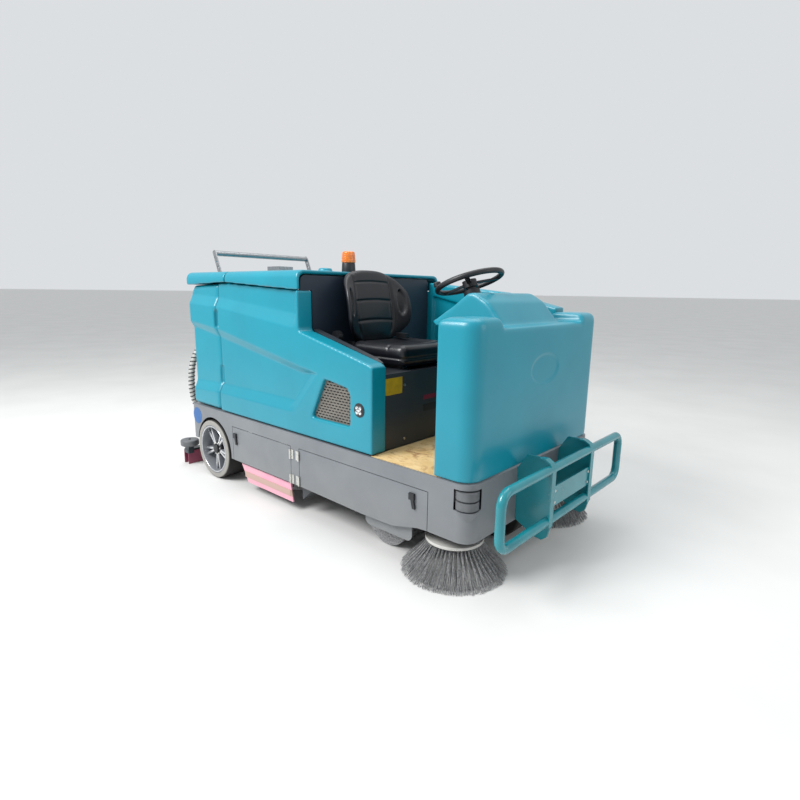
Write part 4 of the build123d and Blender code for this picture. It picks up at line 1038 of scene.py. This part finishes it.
@dataclass
class SideBroom:
    """Rotating side broom: a flared ring of bundled nylon bristles under a moulded disc."""

    side: Side
    bundles: int = 46
    hairs: int = 11
    hair_radius: float = 0.0011
    seed: int = 7

    def build(self) -> None:
        """Model the bristles of one broom, one bundle at a time."""
        node = "broom_bristles_" + self.side.word
        low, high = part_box(node)
        x, y = (low.x + high.x) / 2, (low.y + high.y) / 2
        rng = random.Random(self.seed + self.side.value)
        curve = bpy.data.curves.new("bristles", "CURVE")
        curve.dimensions = "3D"
        curve.bevel_depth = self.hair_radius
        curve.bevel_resolution = 0
        curve.resolution_u = 3
        top, foot = high.z - 0.001, low.z + 0.0012
        tip_radius = (high.x - low.x) / 2 - 0.002
        for row, root in enumerate((0.128, 0.104)):
            for k in range(self.bundles):
                around = 2 * math.pi * (k + row / 2) / self.bundles
                for _ in range(self.hairs):
                    self._hair(curve, rng, (x, y), around, root, tip_radius - row * 0.034,
                               (top, foot))
        obj = bpy.data.objects.new("bristles", curve)
        bpy.context.scene.collection.objects.link(obj)
        only(obj)
        bpy.ops.object.convert(target="MESH")
        piece = settle(bpy.context.object, f"broom_bristles_{self.side.word}_bundles")
        place_piece(smooth(piece, 80), BRISTLE, "side_broom_" + self.side.word,
                    [node])

    def _hair(self, curve: bpy.types.Curve, rng: random.Random, centre: tuple[float, float],
              around: float, root: float, reach: float, heights: tuple[float, float]) -> None:
        """Add one bristle to the curve, from its root to its worn tip."""
        start = around + rng.uniform(-0.018, 0.018)
        end = around + rng.uniform(-0.075, 0.075)
        tip = reach * rng.uniform(0.93, 1.0)
        top, foot = heights
        spline = curve.splines.new("NURBS")
        spline.points.add(3)
        spline.order_u = 3
        spline.use_endpoint_u = True
        stations = ((root + rng.uniform(-0.006, 0.006), start, top, 0.0),
                    (root + 0.3 * (tip - root), start, top, 0.34),
                    (root + 0.72 * (tip - root), (start + end) / 2, foot, 0.28),
                    (tip, end, foot, 0.0))
        for point, (radius, angle, height, drop) in zip(spline.points, stations):
            lift = -drop * (heights[0] - heights[1]) if height == top else drop * (
                heights[0] - heights[1])
            point.co = (centre[0] + radius * math.cos(angle), centre[1] + radius * math.sin(angle),
                        height + lift, 1)


@dataclass
class Seat:
    """Operator's seat: big rounded foam cushion and winged backrest in black vinyl."""

    def build(self) -> None:
        """Model the cushion, the backrest, and their seams."""
        self._cushion()
        self._backrest()

    def _pillow(self, node: str, name: str, width: float, segments: int,
                levels: int) -> bpy.types.Object:
        """Foam block in a stretched cover, filling the box of its CAD node.

        Args:
            node: the CAD node.
            name: name of the piece.
            width: rounding of its edges.
            segments: steps across the rounding.
            levels: smoothing passes over its faces.

        Returns:
            The new piece.
        """
        low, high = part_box(node)
        block = cube(name, tuple(low), tuple(high))
        with_modifier(block, "BEVEL", width=width, segments=segments, limit_method="NONE")
        with_modifier(block, "REMESH", mode="VOXEL", voxel_size=0.007)
        with_modifier(block, "SMOOTH", factor=0.5, iterations=levels)
        SideCovers._hold_inside(block, node)
        return block

    def _cushion(self) -> None:
        """Cushion with a welted seam round it, a dished seat and raised front roll."""
        low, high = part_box("seat_cushion")
        cushion = self._pillow("seat_cushion", "seat_cushion_cover", 0.042, 6, 8)
        middle = (low + high) / 2
        half = (high - low) / 2
        for vertex in cushion.data.vertices:
            co = vertex.co
            u, v = (co.x - middle.x) / half.x, (co.y - middle.y) / half.y
            if co.z > middle.z:
                dish = 0.020 * max(0.0, 1 - v * v) * max(0.0, 1 - u * u)
                seam = 0.006 * math.exp(-((u - 0.42) / 0.035) ** 2)
                seam += 0.005 * math.exp(-((abs(v) - 0.66) / 0.04) ** 2) * (1 if u < 0.42 else 0)
                co.z -= dish + seam
            else:
                pull = 0.010 * math.exp(-((co.z - low.z - 0.045) / 0.006) ** 2)
                co.x -= math.copysign(pull, u) if abs(u) > 0.85 else 0.0
                co.y -= math.copysign(pull, v) if abs(v) > 0.85 else 0.0
        only(cushion)
        bpy.ops.object.shade_smooth()
        place_piece(cushion, SEAT_VINYL, "seat", ["seat_cushion"])

    def _backrest(self) -> None:
        """One-piece bucket backrest: rounded shell, side wings with oval hollows, pressed seams."""
        bpy.ops.object.select_all(action="DESELECT")
        bpy.ops.mesh.primitive_uv_sphere_add(segments=160, ring_count=110, radius=1,
                                             rotation=(0, math.pi / 2, 0))
        back = settle(bpy.context.object, "seat_back_cover")
        for vertex in back.data.vertices:
            vertex.co = self._bucket(vertex.co)
        SideCovers._hold_inside(back, "seat_back")
        only(back)
        bpy.ops.object.shade_smooth()
        place_piece(back, SEAT_VINYL, "seat_back", ["seat_back"])

    @staticmethod
    def _bucket(point: Vector) -> Point:
        """Carry a point of the unit ball to the backrest, whose box is still to be fitted.

        Args:
            point: a point on the ball.

        Returns:
            Its place on the backrest, in the proportions of the real seat.
        """
        reach = max(1e-6, math.hypot(point.y, point.z))
        across, up = abs(point.y / reach), abs(point.z / reach)
        squarer = (across ** 2.7 + up ** 2.7) ** (-1 / 2.7)
        side, tall = point.y * squarer, point.z * squarer
        level = (tall + 1) / 2
        waist = 0.70 + 0.30 * math.sin(math.pi / 2 * ramp(level, 0.0, 0.42))
        wing = ramp(abs(side), 0.45, 0.95) ** 1.6 * math.sin(math.pi * ramp(level, -0.1, 1.08))
        flat = math.copysign(abs(point.x) ** 0.62, point.x)
        thick = 0.040 - 0.010 * wing
        middle = -0.055 * level + 0.085 * wing
        press = 0.0
        if point.x > 0:
            bow = 0.05 * (1 - side * side)
            inner = 1 - ramp(abs(side), 0.50, 0.58)
            for seam in (0.30, 0.56, 0.80):
                press += 0.007 * inner * math.exp(-((level - seam - bow) / 0.012) ** 2)
            press += 0.008 * math.exp(-((abs(side) - 0.56) / 0.03) ** 2) * ramp(level, 0.1, 0.2)
            oval = ((abs(side) - 0.80) / 0.085) ** 2 + ((level - 0.58) / 0.17) ** 2
            press += 0.018 * (1 - ramp(oval, 0.75, 1.15))
        return (middle + thick * flat - press, side * 0.278 * waist, level * 0.54)


@dataclass
class SuctionHose:
    """Ribbed suction hose from the tank to the squeegee, with a dark wire helix."""

    radius: float = 0.0215
    pitch: float = 0.030
    wire: float = 0.0045
    route: tuple[Point, ...] = (
        (-1.253, -0.470, 1.016), (-1.296, -0.474, 1.014), (-1.342, -0.500, 0.986),
        (-1.366, -0.544, 0.922), (-1.378, -0.586, 0.826), (-1.380, -0.606, 0.696),
        (-1.382, -0.600, 0.566), (-1.390, -0.560, 0.456), (-1.406, -0.490, 0.374),
        (-1.424, -0.400, 0.328), (-1.444, -0.326, 0.306), (-1.458, -0.270, 0.284),
        (-1.464, -0.240, 0.234), (-1.464, -0.240, 0.176))

    def build(self) -> None:
        """Model the hose wall, its helix and its end cuffs."""
        stations = self._stations()
        wall = round_bar("hose_wall", stations[::4] + [stations[-1]], self.radius, 6)
        helix = round_bar("hose_helix", self._helix(stations), self.wire, 1)
        cuffs = [self._cuff(stations[a:b], f"cuff_{k}")
                 for k, (a, b) in enumerate(((2, 16), (-16, -1)))]
        dress(wall, HOSE_GREY)
        self._swing(wall, "hose_grey", ["squeegee_hose"])
        dress(helix, BLACK_MOULDED)
        self._swing(helix, "black_plastic")
        cuff = join("hose_cuffs", cuffs)
        dress(cuff, BLACK_MOULDED)
        self._swing(cuff, "black_plastic")

    def _stations(self) -> list[Point]:
        """Evenly spaced points along the middle line, by Catmull-Rom through the route."""
        points = [Vector(p) for p in self.route]
        padded = [points[0] * 2 - points[1], *points, points[-1] * 2 - points[-2]]
        fine: list[Vector] = []
        for k in range(1, len(padded) - 2):
            a, b, c, d = padded[k - 1:k + 3]
            for step in range(24):
                t = step / 24
                fine.append(0.5 * (2 * b + (c - a) * t + (2 * a - 5 * b + 4 * c - d) * t * t
                                   + (3 * b - a - 3 * c + d) * t ** 3))
        fine.append(points[-1])
        even, carried = [fine[0]], 0.0
        for a, b in zip(fine, fine[1:]):
            carried += (b - a).length
            if carried >= 0.005:
                even.append(b)
                carried = 0.0
        even[-1] = fine[-1]
        return [tuple(p) for p in even]

    def _helix(self, stations: Sequence[Point]) -> list[Point]:
        """Points of a helix on the hose wall."""
        found: list[Point] = []
        travelled = 0.0
        side = Vector((0, 1, 0))
        for a, b in zip(stations, stations[1:]):
            start, ahead = Vector(a), Vector(b) - Vector(a)
            along = ahead.normalized()
            side = (side - along * side.dot(along)).normalized()
            other = along.cross(side)
            for step in range(6):
                share = step / 6
                angle = 2 * math.pi * (travelled + share * ahead.length) / self.pitch
                spot = start + ahead * share + (side * math.cos(angle)
                                                + other * math.sin(angle)) * self.radius
                found.append(tuple(spot))
            travelled += ahead.length
        return found

    def _cuff(self, stations: Sequence[Point], name: str) -> bpy.types.Object:
        """Moulded cuff round one end of the hose."""
        return round_bar(name, stations, self.radius + 0.0055, 6)

    @staticmethod
    def _swing(obj: bpy.types.Object, slot: str, stands_for: Sequence[str] = ()) -> None:
        """Bake a hose piece's place into its mesh and hide the CAD nodes that it stands for."""
        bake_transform(obj)
        if stands_for:
            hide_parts(*stands_for)
        LOG.info("piece %s between chassis and squeegee", obj.name)


@dataclass
class Trim:
    """Small fitted parts: turn latch, blank labels, warning lamp and grille plate."""

    def build(self) -> None:
        """Model all the small parts."""
        self._turn_latch()
        self._labels()
        self._beacon()
        self._grille()

    def _turn_latch(self) -> None:
        """Quarter-turn latch of the right cover: black dish with a four-lobed bright knob."""
        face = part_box("side_shell_right")[0].y
        x, z = 0.575, 0.769
        dish = cylinder("latch_dish", (x, face, z), 0.039, 0.006, "y", 64)
        bevel(dish, 0.002, 2)
        place_piece(dish, BLACK_MOULDED, "chassis")
        lobes = [cylinder("knob", (x, face - 0.004, z), 0.015, 0.010, "y", 32)]
        for k in range(4):
            angle = math.radians(45 + 90 * k)
            spot = (x + 0.017 * math.cos(angle), face - 0.004, z + 0.017 * math.sin(angle))
            lobes.append(cylinder("lobe", spot, 0.011, 0.010, "y", 24))
        knob = join("turn_latch_knob", [bevel(lobe, 0.002, 2) for lobe in lobes])
        place_piece(knob, CHROME, "chassis")

    def _labels(self) -> None:
        """Blank labels: blue disc by the tail, yellow on the seat box, red bar on the console."""
        disc = cylinder("blue_disc_label", (-1.215, -0.6583, 0.440), 0.062, 0.0012, "y", 64)
        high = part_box("seat_box")[1]
        yellow = cube("yellow_label", (high.x - 0.0002, -0.535, 0.841),
                      (high.x + 0.0012, -0.400, 0.933))
        red = cube("red_label", (high.x - 0.0002, -0.211, 0.776), (high.x + 0.0012, 0.06, 0.802))
        plate = cube("console_plate", (high.x - 0.0002, -0.211, 0.706),
                     (high.x + 0.0012, 0.06, 0.748))
        place_piece(disc, BLUE_LABEL, "chassis")
        place_piece(yellow, YELLOW_LABEL, "chassis")
        place_piece(red, RED_LABEL, "chassis")
        place_piece(plate, BLACK_MOULDED, "chassis")

    def _beacon(self) -> None:
        """Warning lamp: ribbed amber dome on a black base."""
        low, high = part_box("beacon")
        x, y = (low.x + high.x) / 2, (low.y + high.y) / 2
        radius = (high.x - low.x) / 2
        tall = high.z - low.z
        base = cylinder("beacon_base", (x, y, low.z + tall * 0.24), radius * 0.98, tall * 0.48, "z",
                        64, radius * 0.90)
        bevel(base, 0.003, 3)
        place_piece(base, BLACK_MOULDED, "tank_lid", ["beacon"])
        lens_low, lens_high = low.z + tall * 0.47, high.z
        lens = cylinder("beacon_lens", (x, y, (lens_low + lens_high) / 2), radius * 0.98,
                        lens_high - lens_low, "z", 96, radius * 0.86)
        bevel(lens, radius * 0.22, 6, 40)
        place_piece(lens, AMBER, "tank_lid")
        rings = [torus("rib", (x, y, lens_low + (lens_high - lens_low) * share),
                       radius * (0.985 - 0.12 * share), 0.0014, "z")
                 for share in (0.12, 0.26, 0.40, 0.54, 0.68)]
        place_piece(join("beacon_ribs", rings), AMBER, "tank_lid")

    def _grille(self) -> None:
        """Perforated plate set back in its window, with a black sheet behind its slots as painted
        shade of the dark space there.
        """
        face = -SHELL_FACE + 0.024
        outline = SideCovers._grille(1.06)
        plate = prism("grille_plate", outline, (face, face + 0.003))
        seed = self._slot((0.0, face, 0.0))
        slots = []
        for row in range(16):
            for column in range(14):
                x = 0.150 + 0.0285 * (column + 0.5 * (row % 2))
                z = 0.672 + 0.0165 * row
                if inside_outline(SideCovers._grille(0.93), x, z):
                    slots.append(copy_of(seed, "slot", Matrix.Translation((x, 0, z))))
        bpy.data.objects.remove(seed, do_unlink=True)
        combine(plate, join("slots", slots), "DIFFERENCE")
        place_piece(plate, GRILLE_PLATE, "chassis", ["side_grille"])
        # black sheet behind the slots: painted shade standing for the dark space behind the grille
        back = prism("grille_painted_shade_sheet", outline, (face + 0.022, face + 0.024))
        place_piece(back, BLACK_MOULDED, "chassis")

    @staticmethod
    def _slot(centre: Point) -> bpy.types.Object:
        """Obround cutter for one slot of the grille."""
        half, radius, steps = 0.0072, 0.0036, 6
        outline = []
        for end, start in ((1, -90), (-1, 90)):
            for step in range(steps + 1):
                angle = math.radians(start + 180 * step / steps)
                outline.append((centre[0] + end * half + radius * math.cos(angle),
                                centre[2] + radius * math.sin(angle)))
        return prism("slot", outline, (centre[1] - 0.004, centre[1] + 0.008))


@dataclass
class Studio:
    """Floor, lights and camera."""

    place: Point = (2.5457, -2.5313, 1.3931)
    azimuth: float = 41.84
    pitch: float = 11.75
    roll: float = 0.79
    lens: float = 23.52

    def build(self) -> None:
        """Set up the whole studio."""
        self._floor()
        self._lights()
        self._camera()

    def _floor(self) -> None:
        """Plain pale floor."""
        bpy.ops.object.select_all(action="DESELECT")
        bpy.ops.mesh.primitive_plane_add(size=600, location=(0, 0, -0.0005))
        floor = settle(bpy.context.object, "studio_floor")
        paper = Finish("pale_floor_painted", "#D9D9D7", "#D3D3D1", 900, 0.7, 0.05,
                       grain_mm=6, grain=0.02)
        dress(floor, paper)

    def _lights(self) -> None:
        """Broad key from the driver's right and above, with weak fills."""
        self._panel("key", (-1.6, -5.0, 5.2), (-0.2, 0, 0.8), 3.0, 520)
        self._panel("top", (0.4, 0.6, 6.0), (0, 0, 0.6), 4.5, 150)
        self._panel("fill", (6.2, 1.6, 2.6), (0.4, 0, 0.8), 3.0, 40)
        world = bpy.data.worlds.new("studio_world")
        bpy.context.scene.world = world
        world.use_nodes = True
        sky = world.node_tree.nodes["Background"]
        sky.inputs["Color"].default_value = linear("#F3F6F9")
        sky.inputs["Strength"].default_value = 0.80
        bpy.context.scene.view_settings.view_transform = "Standard"
        bpy.context.scene.view_settings.look = "None"

    @staticmethod
    def _panel(name: str, place: Point, target: Point, size: float, power: float) -> None:
        """Square area light.

        Args:
            name: name of the light.
            place: where it stands.
            target: the point that it faces.
            size: side of the square.
            power: radiant power in watts.
        """
        light = bpy.data.lights.new(name, "AREA")
        light.shape, light.size, light.energy = "SQUARE", size, power
        obj = bpy.data.objects.new(name, light)
        bpy.context.scene.collection.objects.link(obj)
        obj.location = place
        obj.rotation_mode = "QUATERNION"
        obj.rotation_quaternion = (Vector(target) - Vector(place)).to_track_quat("-Z", "Y")

    def _camera(self) -> None:
        """Camera at the height, distance and lens that give the front three-quarter view."""
        azimuth, pitch, roll = (math.radians(v) for v in (self.azimuth, self.pitch, self.roll))
        forward = Vector((-math.sin(azimuth) * math.cos(pitch),
                          math.cos(azimuth) * math.cos(pitch), -math.sin(pitch)))
        right = Vector((math.cos(azimuth), math.sin(azimuth), 0))
        up = right.cross(forward)
        across = math.cos(roll) * right + math.sin(roll) * up
        above = -math.sin(roll) * right + math.cos(roll) * up
        camera = bpy.data.cameras.new("camera")
        camera.lens, camera.sensor_width = self.lens, 36.0
        obj = bpy.data.objects.new("camera", camera)
        bpy.context.scene.collection.objects.link(obj)
        turn = Matrix((across, above, -forward)).transposed()
        obj.matrix_world = Matrix.Translation(self.place) @ turn.to_4x4()
        bpy.context.scene.camera = obj


def finish_cad_nodes() -> None:
    """Give every CAD node the finish of its material."""
    for name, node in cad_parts.items():
        dress(node, NODE_FINISH[name])
        smooth(node)


def main() -> None:
    logging.basicConfig(level=logging.INFO, format="%(message)s")
    finish_cad_nodes()
    for assembly in (SideCovers(), FrontCover(), Wheels(), SideBroom(Side.RIGHT),
                     SideBroom(Side.LEFT), Seat(), SuctionHose(), Trim(), Studio()):
        assembly.build()


if __name__ == "__main__":
    main()
